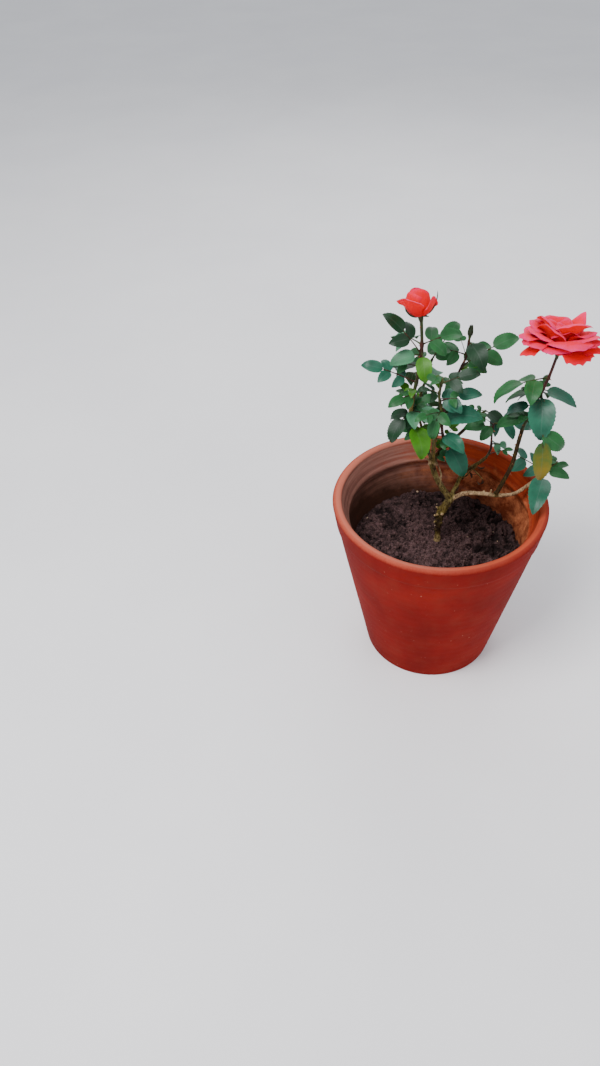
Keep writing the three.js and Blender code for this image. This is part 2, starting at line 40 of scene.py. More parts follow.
toMetres = 0.001  # sizes below are millimetres, as on the drawing board


# Small helpers, all in millimetres until a mesh is made

def vec(x, y, z):
    return np.array([x, y, z], float)


def unit(v):
    return v / np.linalg.norm(v)


def lerp(a, b, t):
    return a + (b - a) * t


def clamp(v, low=0.0, high=1.0):
    return max(low, min(high, v))


def sine(angle):
    return sin(angle * degree)


def cosine(angle):
    return cos(angle * degree)


def pointing(rise, heading):
    level = cosine(rise)
    return vec(level * cosine(heading), level * sine(heading), sine(rise))


def sideways(heading):
    return vec(-sine(heading), cosine(heading), 0)


def turned(v, axis, angle):
    c, s = cosine(angle), sine(angle)
    return v * c + np.cross(axis, v) * s + axis * (axis @ v) * (1 - c)


def chordOf(turn):
    return 1.0 if abs(turn) < 1e-6 else sin(turn / 2) / (turn / 2)


def makeRandom(seed):
    # the same stream of numbers for the same seed
    state = [seed & 0xFFFFFFFF]

    def draw():
        state[0] = (state[0] + 0x6D2B79F5) & 0xFFFFFFFF
        s = state[0]
        mixed = ((s ^ (s >> 15)) * (s | 1)) & 0xFFFFFFFF
        mixed ^= (mixed + (((mixed ^ (mixed >> 7)) * (mixed | 61)) & 0xFFFFFFFF)) & 0xFFFFFFFF
        return ((mixed ^ (mixed >> 14)) & 0xFFFFFFFF) / 4294967296
    return draw


def either(random, width):
    # a chance step to either side, over this width in all
    return (random() - 0.5) * width


def grain(points, scale, octaves, offset):
    # fractal noise at each point, about -1 to 1
    shift = Vector((offset, offset * 1.7, -offset))
    return np.array([noise.fractal(Vector(p) / scale + shift, 0.9, 2.0, octaves) for p in points])


def addObject(name, data):
    piece = bpy.data.objects.new(name, data)
    bpy.context.collection.objects.link(piece)
    return piece


def addPiece(name, mesh):
    print(name, len(mesh.polygons), "faces")
    return addObject(name, mesh)


# Camera: stands where the photograph was taken

photoCamera = {
    "at": (-200.9, -965.4, 1106.6), "pitch": 42.49, "roll": 2.469,  # degrees down and to the side
    "focalPixels": 892.7, "imageHeight": 1066, "sensor": 36,
}


def placeCamera(c):
    data = bpy.data.cameras.new("photoCamera")
    data.sensor_width = c["sensor"]
    data.lens = c["sensor"] * c["focalPixels"] / c["imageHeight"]
    data.clip_start, data.clip_end = 0.02, 30
    level = Vector((1, 0, 0))
    upright = Vector((0, sine(c["pitch"]), cosine(c["pitch"])))
    right = level * cosine(c["roll"]) - upright * sine(c["roll"])
    up = level * sine(c["roll"]) + upright * cosine(c["roll"])
    camera = addObject("photoCamera", data)
    camera.matrix_world = Matrix.Translation(Vector(c["at"]) * toMetres) @ Matrix(
        (right, up, right.cross(up))).transposed().to_4x4()
    bpy.context.scene.camera = camera


placeCamera(photoCamera)
print("camera placed")


# The growing rule: the limbs and shoots, written again from their named sizes

potSizes = {
    "height": 280, "rimRadius": 152.5, "footRadius": 97.5, "collarDepth": 35, "collarStep": 1.6,
    "collarTaper": 4.5, "wall": 11, "floor": 14, "floorRound": 3, "lipRound": 5, "lipWidth": 13,
    "footBevel": 2, "ridgeRadius": 128.5, "ridgeHeight": 3, "ridgeLip": 1.5, "ridgeUndercut": 10,
}
soilSizes = {
    "level": 190, "flat": 34, "dip": 3, "slope": 4, "lowest": 0.6, "clear": 0.3,
    "clumpSpacing": 30, "clumpJitter": 16, "clumpHeight": 4.5, "clumpWidth": 17, "clumpSeed": 5,
    "smoothRadius": 20, "smoothEdge": 14,
}


def outerAt(z):
    p = potSizes
    bottom = p["height"] - p["collarDepth"]
    return lerp(p["footRadius"], p["rimRadius"] - p["collarTaper"] - p["collarStep"], z / bottom)


def innerAt(z):
    return outerAt(z) - potSizes["wall"]


leafRule = {
    "width": 0.6, "fold": 14, "bend": 16, "roll": 26, "turn": 12, "rollTries": (0, 24, -24, 46),
    "rootSink": 0.8, "lightTurn": 24, "lightHeading": 265, "stalkRadius": 1.25, "shortestStalk": 6,
    "pairGap": 0.4, "pairStep": 0.72, "pairNearest": 0.22, "pairSize": 0.84, "pairShrink": 0.08,
    "pairSwing": 58, "pairLean": 8,
}
fillRule = {
    "rise": (-34, -4), "droop": (18, 38), "leaflets": 3, "riseSpread": 14, "headingSpread": 20,
    "sizeSpread": 0.2,
}
youngRule = {  # small young leaves between the main ones
    "every": 21, "turn": 137.5, "turnSpread": 40, "rise": (10, 48), "droop": (10, 34), "reach": (24, 46),
    "blade": (12, 22), "bladeShare": 0.6, "threes": 0.7, "seed": 500, "from": 0.08, "to": 0.95,
    "ends": {"left_flower_shoot": 0.72, "right_flower_shoot": 0.5, "tall_bud_shoot": 0.85},
    "space": {"limb": 2, "mass": 3.5, "own": 2.2},
}
spaces = {"limb": 3.2, "mass": 8.5, "own": 4, "pot": 4}

boughs = {
    "trunk": dict(
        start=(3.3, 5.5, 190.3), length=80, radii=(4.9, 4.6), lean=(1, 1, 7, 28, 32),
        heading=(180, 80, 51, 31, 10), knots=((0, 0.12, 0.5), (0.7, 0.11, 0.35), (0.98, 0.09, 0.25))),
    "left_bough": dict(
        on=("trunk", 0.97), length=80, radii=(4.2, 3.6), lean=(30, 30, 27, 19, 7),
        heading=(175, 172, 167, 164, 141), knots=((0.95, 0.09, 0.45),)),
    "middle_bough": dict(
        on=("trunk", 0.98), length=82, radii=(3.2, 2.1), lean=(20, 32, 25, 42, 59, 64, 56),
        heading=(36, 36, 33, 21, 16, 14, 15)),
    "arching_bough": dict(
        on=("trunk", 0.94), length=152, radii=(3.3, 2.2), lean=(50, 90, 103, 90, 71, 64),
        heading=(346, 356, 2, 8, 24, 26)),
    "right_upright": dict(
        on=("arching_bough", 0.47), length=122, radii=(3, 2.6), lean=(18, 14, 5, 6),
        heading=(352, 345, 334, 345)),
    "back_bough": dict(
        on=("left_bough", 0.88), length=88, radii=(2.9, 2.1), lean=(46, 76, 66, 62, 61),
        heading=(44, 38, 33, 31, 31)),
}

# a leaf row: where on the stem, heading, rise, droop, reach, end leaflet, leaflets, and the
# breadth where it isn't the usual one
masses = {
    "left_flower_shoot": dict(
        on=("left_bough", 1), length=218, radii=(3.2, 2.4), reach=95, seed=11,
        lean=(5, 52, 4, 12, 10, 6), heading=(173, 177, 107, 40, 57, 122),
        leaves=(
            (0.8, 165, 56, 16, 74, 34, 3), (0.8, 196, 8, 30, 44, 34, 1), (0.86, 13, 18, 20, 60, 34, 3),
            (0.82, 274, -22, 30, 44, 34, 1), (0.62, 175, 29, 14, 78, 28, 5), (0.54, 213, 14, 30, 42, 24, 3),
            (0.42, 226, 0, 60, 54, 36, 3), (0.36, 284, 8, 60, 64, 46, 1), (0.43, 325, 12, 30, 50, 36, 3)),
        fill=dict(count=3, start=0.5, end=0.86, heading=62, turn=30, reach=66, blade=32),
        bloom=("halfOpen", 20, 120)),
    "centre_shoot": dict(
        on=("left_bough", 0.91), length=164, radii=(2.7, 1.8), reach=80, seed=23,
        lean=(32, 12, 11, 8, 13, 6), heading=(262, 258, 305, 288, 203, 338),
        leaves=(
            (1, 120, 20, 10, 40, 32, 1), (0.95, 352, 30, 20, 52, 28, 3), (0.85, 210, 43, 20, 42, 22, 3),
            (0.78, 350, 26, 20, 56, 30, 5), (0.58, 328, 40, 34, 58, 50, 1), (0.44, 300, 22, 44, 52, 36, 1)),
        fill=dict(count=1, start=0.7, end=0.7, heading=240, turn=30, reach=46, blade=28)),
    "back_shoot": dict(
        on=("left_bough", 0.87), length=152, radii=(2.6, 1.7), reach=90, seed=37,
        lean=(46, 30, 26, 26, 23, 17), heading=(112, 122, 116, 73, 41, 36),
        leaves=((1, 36, 50, 20, 66, 34, 5), (0.74, 60, 10, 30, 66, 34, 3)),
        fill=dict(count=3, start=0.45, end=0.9, heading=72, turn=32, reach=70, blade=34)),
    "tall_bud_shoot": dict(
        on=("back_bough", 0.36), length=162, radii=(2.6, 1.7), reach=95, seed=41,
        lean=(17, 10, 20, 21, 22, 10), heading=(144, 82, 30, 35, 20, 48),
        leaves=(
            (0.97, 282, 20, 66, 52, 42, 1), (0.9, 20, 5, 10, 40, 24, 3), (0.76, 9, 34, 16, 86, 38, 5),
            (0.86, 190, 30, 20, 54, 28, 3), (0.04, 290, 10, 66, 62, 46, 1)),
        fill=dict(count=2, start=0.4, end=0.75, heading=75, turn=62, reach=72, blade=36),
        bloom=("bud", 12, 60)),
    "back_spray": dict(
        on=("back_bough", 1), length=20, radii=(2, 1.6), reach=95, seed=53, lean=(62, 66), heading=(31, 20),
        leaves=((1, 312, -2, 24, 34, 28, 1, 0.78), (0.6, 352, -22, 14, 62, 32, 3))),
    "middle_shoot": dict(
        on=("middle_bough", 1), length=54, radii=(2, 1.4), reach=70, seed=61,
        lean=(36, 10, 7, 9), heading=(40, 89, 96, 55),
        leaves=((1, 354, 4, 20, 58, 30, 3), (0.9, 176, 14, 30, 42, 30, 3), (0.4, 10, -5, 50, 36, 22, 3))),
    "right_flower_shoot": dict(
        on=("right_upright", 1), length=118, radii=(2.5, 2.1), reach=110, seed=71,
        lean=(14, 16, 14, 9), heading=(352, 348, 345, 342), lightTurn=0,
        leaves=(
            (0.72, 192, 4, 28, 80, 44, 3), (0.52, 172, -4, 12, 48, 38, 1), (0.56, 333, -2, 16, 50, 44, 1),
            (0.54, 262, -16, 42, 68, 56, 1), (0.5, 268, -26, 52, 118, 46, 3), (0.34, 168, -8, 14, 40, 32, 1),
            (0.16, 178, -2, 18, 44, 38, 1)),
        fill=dict(count=2, start=0.24, end=0.5, heading=48, turn=56, reach=62, blade=36),
        bloom=("open", 14, 70)),
    "rim_shoot": dict(
        on=("arching_bough", 1), length=26, radii=(2.1, 1.5), reach=112, seed=83,
        lean=(62, 60), heading=(26, 20),
        leaves=(
            (0.1, 176, 38, 12, 84, 33, 5), (0.16, 328, 14, 20, 33, 30, 3),
            (0.2, 247, 34, 60, 106, 62, 1, 0.46))),
}


class Line:
    # a smooth line through points, read by its share of the length
    def __init__(self, points):
        self.points = points
        self.shares = np.linspace(0, 1, 201)
        self.places = np.array([self.along(t) for t in self.shares])
        steps = np.linalg.norm(np.diff(self.places, axis=0), axis=1)
        self.lengths = np.concatenate([[0], np.cumsum(steps)])
        self.length = self.lengths[-1]

    def along(self, t):
        points = self.points
        last = len(points) - 1
        i = min(int(last * t), last - 1)
        w = last * t - i
        p1, p2 = points[i], points[i + 1]
        p0 = points[i - 1] if i > 0 else 2 * points[0] - points[1]
        p3 = points[i + 2] if i + 2 <= last else 2 * points[last] - points[last - 1]
        d0, d1, d2 = (max(np.linalg.norm(b - a), 1e-9) ** 0.5 for a, b in ((p0, p1), (p1, p2), (p2, p3)))
        m1 = ((p1 - p0) / d0 - (p2 - p0) / (d0 + d1) + (p2 - p1) / d1) * d1
        m2 = ((p2 - p1) / d1 - (p3 - p1) / (d1 + d2) + (p3 - p2) / d2) * d1
        return p1 + m1 * w + (-3 * p1 + 3 * p2 - 2 * m1 - m2) * w * w + (2 * p1 - 2 * p2 + m1 + m2) * w ** 3

    def at(self, share):
        return self.along(np.interp(share * self.length, self.lengths, self.shares))

    def steps(self, step):
        # even shares about a step apart, and their places
        shares = np.linspace(0, 1, max(4, int(self.length / step)) + 1)
        return shares, np.array([self.at(s) for s in shares])


limbLines = {}
placedLimbs = []
placedBlades = []
leaves = []


def limbRadius(limb, t):
    radius = lerp(limb["radii"][0], limb["radii"][1], t)
    for place, width, swell in limb.get("knots", ()):
        radius += limb["radii"][0] * swell * exp(-(((t - place) / width) ** 2))
    return radius


def placeLimb(name, limb):
    points = [vec(*limb["start"]) if "start" in limb else limbLines[limb["on"][0]].at(limb["on"][1])]
    for lean, heading in zip(limb["lean"], limb["heading"]):
        points.append(points[-1] + pointing(90 - lean, heading) * (limb["length"] / len(limb["lean"])))
    limbLines[name] = Line(np.array(points))
    placedLimbs.append((name, np.array(points), max(limb["radii"])))


def farFrom(samples, points):
    # how far each sample is from a bent line
    a, d = points[:-1], np.diff(points, axis=0)
    rel = samples[:, None, :] - a[None]
    t = np.clip((rel * d).sum(-1) / (d * d).sum(-1), 0, 1)
    return np.linalg.norm(rel - t[..., None] * d, axis=-1).min(1)


def touchesPot(samples):
    p, s = potSizes, spaces["pot"]
    z = samples[:, 2]
    radius = np.hypot(samples[:, 0], samples[:, 1])
    wall = lerp(p["footRadius"], p["rimRadius"], z / p["height"])
    inside = (radius < np.minimum(p["ridgeRadius"], wall - p["wall"]) - s) & (z > soilSizes["level"] + s)
    return ((z <= p["height"] + s) & ~((radius > wall + s) | inside)).any()


def bladeSamples(blade):
    side = unit(np.cross(blade["along"], blade["up"]))
    samples = []
    for reach in (0.2, 0.4, 0.6, 0.8, 1):
        turn = blade["bend"] * degree * reach
        half = blade["width"] * 0.8 * sqrt(max(reach * (1 - reach), 0))
        for edge in ((0,) if reach == 1 else (-1, 0, 1)):
            samples.append(
                blade["root"] + blade["along"] * blade["length"] * reach * cos(turn / 2)
                - blade["up"] * blade["length"] * reach * sin(turn / 2) + side * edge * half)
    return np.array(samples)


def fits(blade, mass, leaf, space):
    samples = bladeSamples(blade)
    if touchesPot(samples) or farFrom(samples, limbLines[mass].points).max() > masses[mass]["reach"]:
        return False
    for name, points, radius in placedLimbs:
        if name != mass and farFrom(samples, points).min() < radius + space["limb"]:
            return False
    for otherMass, otherLeaf, others in placedBlades:
        if otherLeaf != leaf:
            gap = np.linalg.norm(samples[:, None] - others[None], axis=-1).min()
            if gap < space["own" if otherMass == mass else "mass"]:
                return False
    placedBlades.append((mass, leaf, samples))
    return True


def growLeaf(mass, index, row, random, young=False):
    share, heading, rise, droop, reach, bladeLength, leaflets = row[:7]
    r = leafRule
    space = youngRule["space"] if young else spaces
    breadth = row[7] if len(row) > 7 else r["width"]
    toLight = masses[mass].get("lightTurn", r["lightTurn"]) * sine(heading - r["lightHeading"])
    stalkLength = max(reach - bladeLength, r["shortestStalk"])
    rootPoint = limbLines[mass].at(share)
    blades = []

    def pointAt(distance):
        turn = droop * distance / reach
        return rootPoint + pointing(rise - turn / 2, heading) * distance * chordOf(turn * degree)

    def tryBlade(distance, swing, length, lean):
        forward = pointing(rise - droop * distance / reach, heading)
        roll = toLight + either(random, r["roll"])
        turn = swing + either(random, r["turn"]) * (1 if swing else 0.4)
        sink = r["rootSink"] * (1 if swing else 3)
        for extra in r["rollTries"]:
            upright = turned(unit(np.cross(forward, sideways(heading))), forward, roll + extra)
            along = turned(forward, upright, turn)
            across = unit(np.cross(along, upright))
            along = turned(along, across, -lean)
            blade = {
                "root": pointAt(distance) - along * sink, "along": along, "up": unit(np.cross(across, along)),
                "length": length + sink, "width": length * breadth,
                "bend": r["bend"] + droop * length / reach,
            }
            if fits(blade, mass, (mass, young, index), space):
                blades.append(blade)
                return

    tryBlade(stalkLength, 0, bladeLength, 0)
    for pair in range(int((leaflets - 1) / 2)):
        distance = stalkLength - bladeLength * (r["pairGap"] + r["pairStep"] * pair)
        for swing in (r["pairSwing"], -r["pairSwing"]):
            tryBlade(max(distance, stalkLength * r["pairNearest"]), swing,
                     bladeLength * (r["pairSize"] - r["pairShrink"] * pair), r["pairLean"])
    if blades:
        leaves.append({"mass": mass, "index": index, "young": young, "share": share, "blades": blades,
                       "stalk": [pointAt(stalkLength * t) for t in (0, 0.25, 0.5, 0.75, 1)]})


def fillRows(fill, random):
    rows = []
    f = fillRule
    for i in range(fill["count"]):
        t = i / (fill["count"] - 1) if fill["count"] > 1 else 0
        rows.append((
            lerp(fill["start"], fill["end"], t),
            fill["heading"] + fill["turn"] * i + either(random, f["headingSpread"]),
            lerp(*f["rise"], t) + either(random, f["riseSpread"]),
            lerp(*f["droop"], random()),
            fill["reach"] * (1 + either(random, f["sizeSpread"])),
            fill["blade"] * (1 + either(random, f["sizeSpread"])),
            f["leaflets"]))
    return rows


def growMain(name, mass):
    random = makeRandom(mass["seed"])
    rows = (*mass["leaves"], *(fillRows(mass["fill"], random) if "fill" in mass else ()))
    for i, row in enumerate(rows):
        growLeaf(name, i, row, random)


def growYoung(name, mass):
    y = youngRule
    random = makeRandom(mass["seed"] + y["seed"])
    steps = max(int(limbLines[name].length / y["every"]), 2)
    for i in range(steps):
        share = lerp(y["from"], y["ends"].get(name, y["to"]), i / (steps - 1))
        reach = lerp(*y["reach"], random())
        row = (share, y["turn"] * i + y["turnSpread"] * random(), lerp(*y["rise"], random()),
               lerp(*y["droop"], random()), reach, min(lerp(*y["blade"], random()), reach * y["bladeShare"]),
               3 if random() < y["threes"] else 5)
        growLeaf(name, i, row, random, True)


for name, limb in (*boughs.items(), *masses.items()):
    placeLimb(name, limb)
for grow in (growMain, growYoung):
    for name, mass in masses.items():
        grow(name, mass)
    print("rule grown:", len(leaves), "leaves,", sum(len(leaf["blades"]) for leaf in leaves), "leaflets")


# Mesh batches

def newBatch():
    return {"verts": [], "faces": [], "tints": [], "uvs": [], "count": 0}


def addTo(batch, verts, faces, tint, uvs=None):
    start = batch["count"]
    batch["verts"].append(np.asarray(verts, float))
    batch["uvs"].append(np.zeros((len(verts), 2)) if uvs is None else np.asarray(uvs, float))
    batch["faces"].extend([tuple(i + start for i in face) for face in faces])
    batch["tints"].extend(tint if isinstance(tint, list) else [tint] * len(faces))
    batch["count"] += len(verts)


def finishBatch(batch, name, materials, sharpAngle=None):
    mesh = bpy.data.meshes.new(name)
    mesh.from_pydata((np.vstack(batch["verts"]) * toMetres).tolist(), [], batch["faces"])
    for material in materials:
        mesh.materials.append(material)
    mesh.polygons.foreach_set("material_index", batch["tints"])
    mesh.polygons.foreach_set("use_smooth", [True] * len(mesh.polygons))
    corners = np.empty(len(mesh.loops), np.int32)
    mesh.loops.foreach_get("vertex_index", corners)
    layer = mesh.uv_layers.new(name="growth")
    layer.data.foreach_set("uv", np.vstack(batch["uvs"])[corners].ravel())
    mesh.update()
    if sharpAngle:
        mesh.set_sharp_from_angle(angle=sharpAngle * degree)
    return addPiece(name, mesh)


def circle(sides):
    return [2 * pi * k / sides for k in range(sides)]


def ringFaces(rings, sides):
    # quads between rings of points
    return [(i * sides + k, i * sides + n, (i + 1) * sides + n, (i + 1) * sides + k)
            for i in range(rings - 1) for k, n in ((k, (k + 1) % sides) for k in range(sides))]


tubeFinish = {"broad": (3, 0.05), "narrow": (5, 0.11), "growth": 0.01}  # ridges round it, turn along it


def addTube(batch, places, radii, sides, tint=0, ridges=0.0, seed=0, tones=None):
    # a closed tube through places, its rings carried along without twisting
    (broad, broadTurn), (narrow, narrowTurn) = tubeFinish["broad"], tubeFinish["narrow"]
    places = np.asarray(places, float)
    tangents = np.gradient(places, axis=0)
    tangents /= np.linalg.norm(tangents, axis=1, keepdims=True)
    normal = unit(np.cross(tangents[0], vec(0.3, 0.9, 0.1)))
    verts, uvs = [], []
    run = 0
    for i, (place, tangent, radius) in enumerate(zip(places, tangents, radii)):
        normal = unit(normal - tangent * (normal @ tangent))
        side = np.cross(tangent, normal)
        if i:
            run += np.linalg.norm(place - places[i - 1])
        for angle in circle(sides):
            swell = 1 + ridges * sin(broad * angle + seed + run * broadTurn)
            swell += ridges * sin(narrow * angle - run * narrowTurn)
            verts.append(place + (normal * cos(angle) + side * sin(angle)) * radius * swell)
            uvs.append((angle / 2 / pi if tones is None else tones[i], run * tubeFinish["growth"]))
    ends = [tuple(reversed(range(sides))), tuple(range(len(verts) - sides, len(verts)))]
    addTo(batch, verts, ringFaces(len(places), sides) + ends, tint, uvs)


sheetPatterns = {}


def sheetFaces(rows, cols):
    # the faces of a closed sheet: its top, and an underside that shares the border
    top = [[r * cols + c for c in range(cols)] for r in range(rows)]
    low = [[top[r][c] if r in (0, rows - 1) or c in (0, cols - 1)
            else rows * cols + (r - 1) * (cols - 2) + c - 1 for c in range(cols)] for r in range(rows)]
    cells = [(r, c) for r in range(rows - 1) for c in range(cols - 1)]
    upper = [(top[r][c], top[r][c + 1], top[r + 1][c + 1], top[r + 1][c]) for r, c in cells]
    return upper, [(low[r][c], low[r + 1][c], low[r + 1][c + 1], low[r][c + 1]) for r, c in cells]


def addSheet(batch, grid, drop, uv, tintTop, tintUnder):
    # grid and uv are rows by columns; drop is the sheet's thickness, along its own under side
    size = grid.shape[:2]
    if size not in sheetPatterns:
        sheetPatterns[size] = sheetFaces(*size)
    upper, under = sheetPatterns[size]
    normal = np.cross(np.gradient(grid, axis=1), np.gradient(grid, axis=0))
    normal /= np.maximum(np.linalg.norm(normal, axis=-1, keepdims=True), 1e-9)
    low = (grid - normal * drop)[1:-1, 1:-1]
    verts = np.vstack([grid.reshape(-1, 3), low.reshape(-1, 3)])
    uvs = np.vstack([uv.reshape(-1, 2), uv[1:-1, 1:-1].reshape(-1, 2)])
    addTo(batch, verts, upper + under, [tintTop] * len(upper) + [tintUnder] * len(under), uvs)


# Node trees

def plug(value, socket):
    # a field is linked to the socket, anything else is set on it
    if isinstance(value, Field):
        value.tree.links.new(value.socket, socket)
    else:
        socket.default_value = value


def addNode(tree, kind, inputs=None, output=0, **settings):
    # adds a node and hands back one of its outputs as a field
    node = tree.nodes.new(kind)
    for key, value in settings.items():
        setattr(node, key, value)
    for key, value in (inputs or {}).items():
        plug(value, node.inputs[key])
    return Field(tree, node.outputs[output])


class Field:
    # an output of a node; fields add and multiply as numbers do
    def __init__(self, tree, socket):
        self.tree = tree
        self.socket = socket

    def math(self, kind, *others):
        return addNode(self.tree, "ShaderNodeMath", dict(enumerate((self, *others))), operation=kind)

    def __add__(self, other):
        return self.math("ADD", other)

    def __mul__(self, other):
        return self.math("MULTIPLY", other)

    def __abs__(self):
        return self.math("ABSOLUTE")

    def split(self):
        node = addNode(self.tree, "ShaderNodeSeparateXYZ", {"Vector": self}).socket.node
        return [Field(self.tree, socket) for socket in node.outputs]

    def span(self, low, high, outLow=0.0, outHigh=1.0):
        # from low to high it comes out from outLow to outHigh, and no further
        return addNode(self.tree, "ShaderNodeMapRange", {
            "Value": self, "From Min": low, "From Max": high, "To Min": outLow, "To Max": outHigh})

    def noise(self, scale, detail=4, roughness=0.55):
        return addNode(self.tree, "ShaderNodeTexNoise", {
            "Vector": self, "Scale": scale, "Detail": detail, "Roughness": roughness})

    def stretched(self, *scale):
        return addNode(self.tree, "ShaderNodeMapping", {"Vector": self, "Scale": scale})

    def mix(self, a, b):
        # a where the field is 0, b where it is 1
        return addNode(self.tree, "ShaderNodeMix", {0: self, 6: a, 7: b}, 2, data_type="RGBA")

    def darkened(self, colour):
        return addNode(self.tree, "ShaderNodeMix", {0: 1.0, 6: self, 7: colour}, 2,
                       data_type="RGBA", blend_type="MULTIPLY")

    def ramp(self, *stops):
        field = addNode(self.tree, "ShaderNodeValToRGB", {"Fac": self})
        elements = field.socket.node.color_ramp.elements
        while len(elements) < len(stops):
            elements.new(0.5)
        for element, (place, colour) in zip(elements, stops):
            element.position, element.color = place, colour
        return field


def newTree(name, *sockets):
    # a geometry tree with named inputs, handed back as fields by name
    tree = bpy.data.node_groups.new(name, "GeometryNodeTree")
    for label, kind in (("Geometry", "Geometry"), *sockets):
        tree.interface.new_socket(label, in_out="INPUT", socket_type="NodeSocket" + kind)
    tree.interface.new_socket("Geometry", in_out="OUTPUT", socket_type="NodeSocketGeometry")
    return tree, {socket.name: Field(tree, socket) for socket in tree.nodes.new("NodeGroupInput").outputs}


def endTree(geometry, material):
    dressed = addNode(geometry.tree, "GeometryNodeSetMaterial", {"Geometry": geometry, "Material": material})
    plug(dressed, geometry.tree.nodes.new("NodeGroupOutput").inputs[0])


def realized(points, instance, rotation, scale):
    placed = addNode(points.tree, "GeometryNodeInstanceOnPoints", {
        "Points": points, "Instance": instance, "Rotation": rotation, "Scale": scale})
    return addNode(points.tree, "GeometryNodeRealizeInstances", {"Geometry": placed})


def runTree(tree, base, values, name):
    # sets the inputs by identifier, then turns the result into a plain mesh object
    modifier = base.modifiers.new("grow", "NODES")
    modifier.node_group = tree
    for item in tree.interface.items_tree:
        if item.item_type == "SOCKET" and item.in_out == "INPUT" and item.name in values:
            modifier[item.identifier] = values[item.name]
    return addPiece(name, evaluatedMesh(base, name))


def evaluatedMesh(base, name):
    # the mesh that the object's modifiers make; the object itself goes
    mesh = bpy.data.meshes.new_from_object(base.evaluated_get(bpy.context.evaluated_depsgraph_get()))
    mesh.name = name
    bpy.data.objects.remove(base)
    return mesh


# Materials

def paint(r, g, b):
    # a colour as seen on screen, 0 to 255, made linear
    return tuple(c / 255 / 12.92 if c <= 10 else ((c / 255 + 0.055) / 1.055) ** 2.4 for c in (r, g, b)) + (1,)


def toned(colour, share):
    return tuple(min(c * share, 1) for c in colour[:3]) + (1,)


def startMaterial(name):
    material = bpy.data.materials.new(name)
    material.use_nodes = True
    return material, addNode(material.node_tree, "ShaderNodeTexCoord", output="Object")


def growthOf(tree):
    # where on the leaf, petal or stem: across it and along it
    return addNode(tree, "ShaderNodeUVMap", output="UV", uv_map="growth").split()[:2]


def endMaterial(material, roughness, specular, colour, relief=None, more={}):
    # relief is height, strength and distance
    inputs = material.node_tree.nodes["Principled BSDF"].inputs
    if relief:
        bump = dict(zip(("Height", "Strength", "Distance"), relief))
        plug(addNode(material.node_tree, "ShaderNodeBump", bump), inputs["Normal"])
    values = {"Roughness": roughness, "Specular IOR Level": specular, "Base Color": colour, **more}
    for key, value in values.items():
        plug(value, inputs[key])
    return material


def leafMaterial(name, colour, roughness=0.46, veinShare=0.15, specular=0.28, tip=None):
    material, where = startMaterial(name)
    across, along = growthOf(where.tree)
    off = abs(across + -0.5)
    midrib = off.span(0.012, 0.04, 1, 0)
    wave = abs(((along + off * -0.62) * 25).math("SINE"))
    veins = midrib.math("MAXIMUM", wave.span(0, 0.2, 0.4, 0))
    blotch = where.noise(70, 3)
    shade = blotch.span(0.3, 0.7).mix(colour, toned(colour, 0.6))
    if tip:
        # the autumn tint spreads from the tip of the blade
        shade = (along + blotch.span(0.3, 0.7, -0.18, 0.18)).span(0.1, 0.7).mix(shade, tip)
    # a little fresher at the margin
    shade = off.span(0.3, 0.5, 0, 0.25).mix(shade, toned(colour, 1.7))
    vein = tuple(lerp(c, 0.3, 0.3) for c in colour[:3]) + (1,)
    height = wave * 0.5 + midrib * -0.8 + where.noise(900, 2) * 0.25
    shade = (veins * veinShare).mix(shade, vein)
    return endMaterial(material, roughness, specular, shade, (height, 0.22, 0.0004))


def petalMaterial(name, *colours):
    material, place = startMaterial(name)
    across, along = growthOf(place.tree)
    streak = addNode(place.tree, "ShaderNodeCombineXYZ", {"X": across * 26, "Y": along * 2}).noise(1.6, 3)
    shifted = along + (streak + place.noise(90, 3)).span(0.6, 1.4, -0.11, 0.11)
    # the colour runs from deep red at the seat to pink at the edge: partly the petal's own colour, partly
    # painted shade down in the hollow and a painted highlight on the rims
    colour = shifted.ramp(*zip((0.5, 0.8, 1), colours))
    return endMaterial(material, 0.6, 0.08, colour, (streak, 0.22, 0.0008), {
        "Sheen Weight": 0.08, "Sheen Roughness": 0.4,
        # light that comes through keeps the hollows red
        "Subsurface Weight": 0.5, "Subsurface Radius": (1, 0.1, 0.08), "Subsurface Scale": 0.006})


# tones of the wood: on the rind 0 is red-brown, 0.3 green, 0.65 olive and 1 straw, on old bark
# 0 is dark olive and 1 the dry straw of the arching bough
woodFinishes = {
    "rind": dict(
        streaks=234, blotches=57.2, spread=0.12, grooves=(0.4, 0.62), shade=(150, 140, 130), bump=0.4,
        roughness=0.5, specular=0.25,
        tones=((0.08, 70, 30, 22), (0.3, 54, 72, 24), (0.65, 92, 84, 36), (1, 150, 128, 72))),
    "bark": dict(
        streaks=480, blotches=130, spread=0.14, grooves=(0.36, 0.6), shade=(120, 104, 96), bump=0.7,
        roughness=0.82, specular=0.15, patches=(52, 34, 20),
        tones=((0, 52, 38, 26), (0.3, 98, 82, 36), (0.55, 126, 112, 66), (1, 188, 156, 118))),
}
woodGrain = (1, 1, 0.28)


def woodMaterial(name, kind):
    w = woodFinishes[kind]
    material, where = startMaterial(name)
    tone = (addNode(where.tree, "ShaderNodeAttribute", output="Fac", attribute_name="tone") if kind == "bark"
            else growthOf(where.tree)[0])
    streaks = where.stretched(*woodGrain).noise(w["streaks"], 5, 0.65)
    shifted = tone + where.noise(w["blotches"], 4).span(0.3, 0.7, -w["spread"], w["spread"])
    light = shifted.ramp(*((place, paint(*colour)) for place, *colour in w["tones"]))
    colour = streaks.span(*w["grooves"]).mix(light.darkened(paint(*w["shade"])), light)
    if "patches" in w:
        patches = where.noise(95, 3).span(0.5, 0.62) * tone.span(0.3, 0.8, 0.6, 0.3)
        colour = patches.mix(colour, paint(*w["patches"]))
    return endMaterial(material, w["roughness"], w["specular"], colour, (streaks, w["bump"], 0.0012))


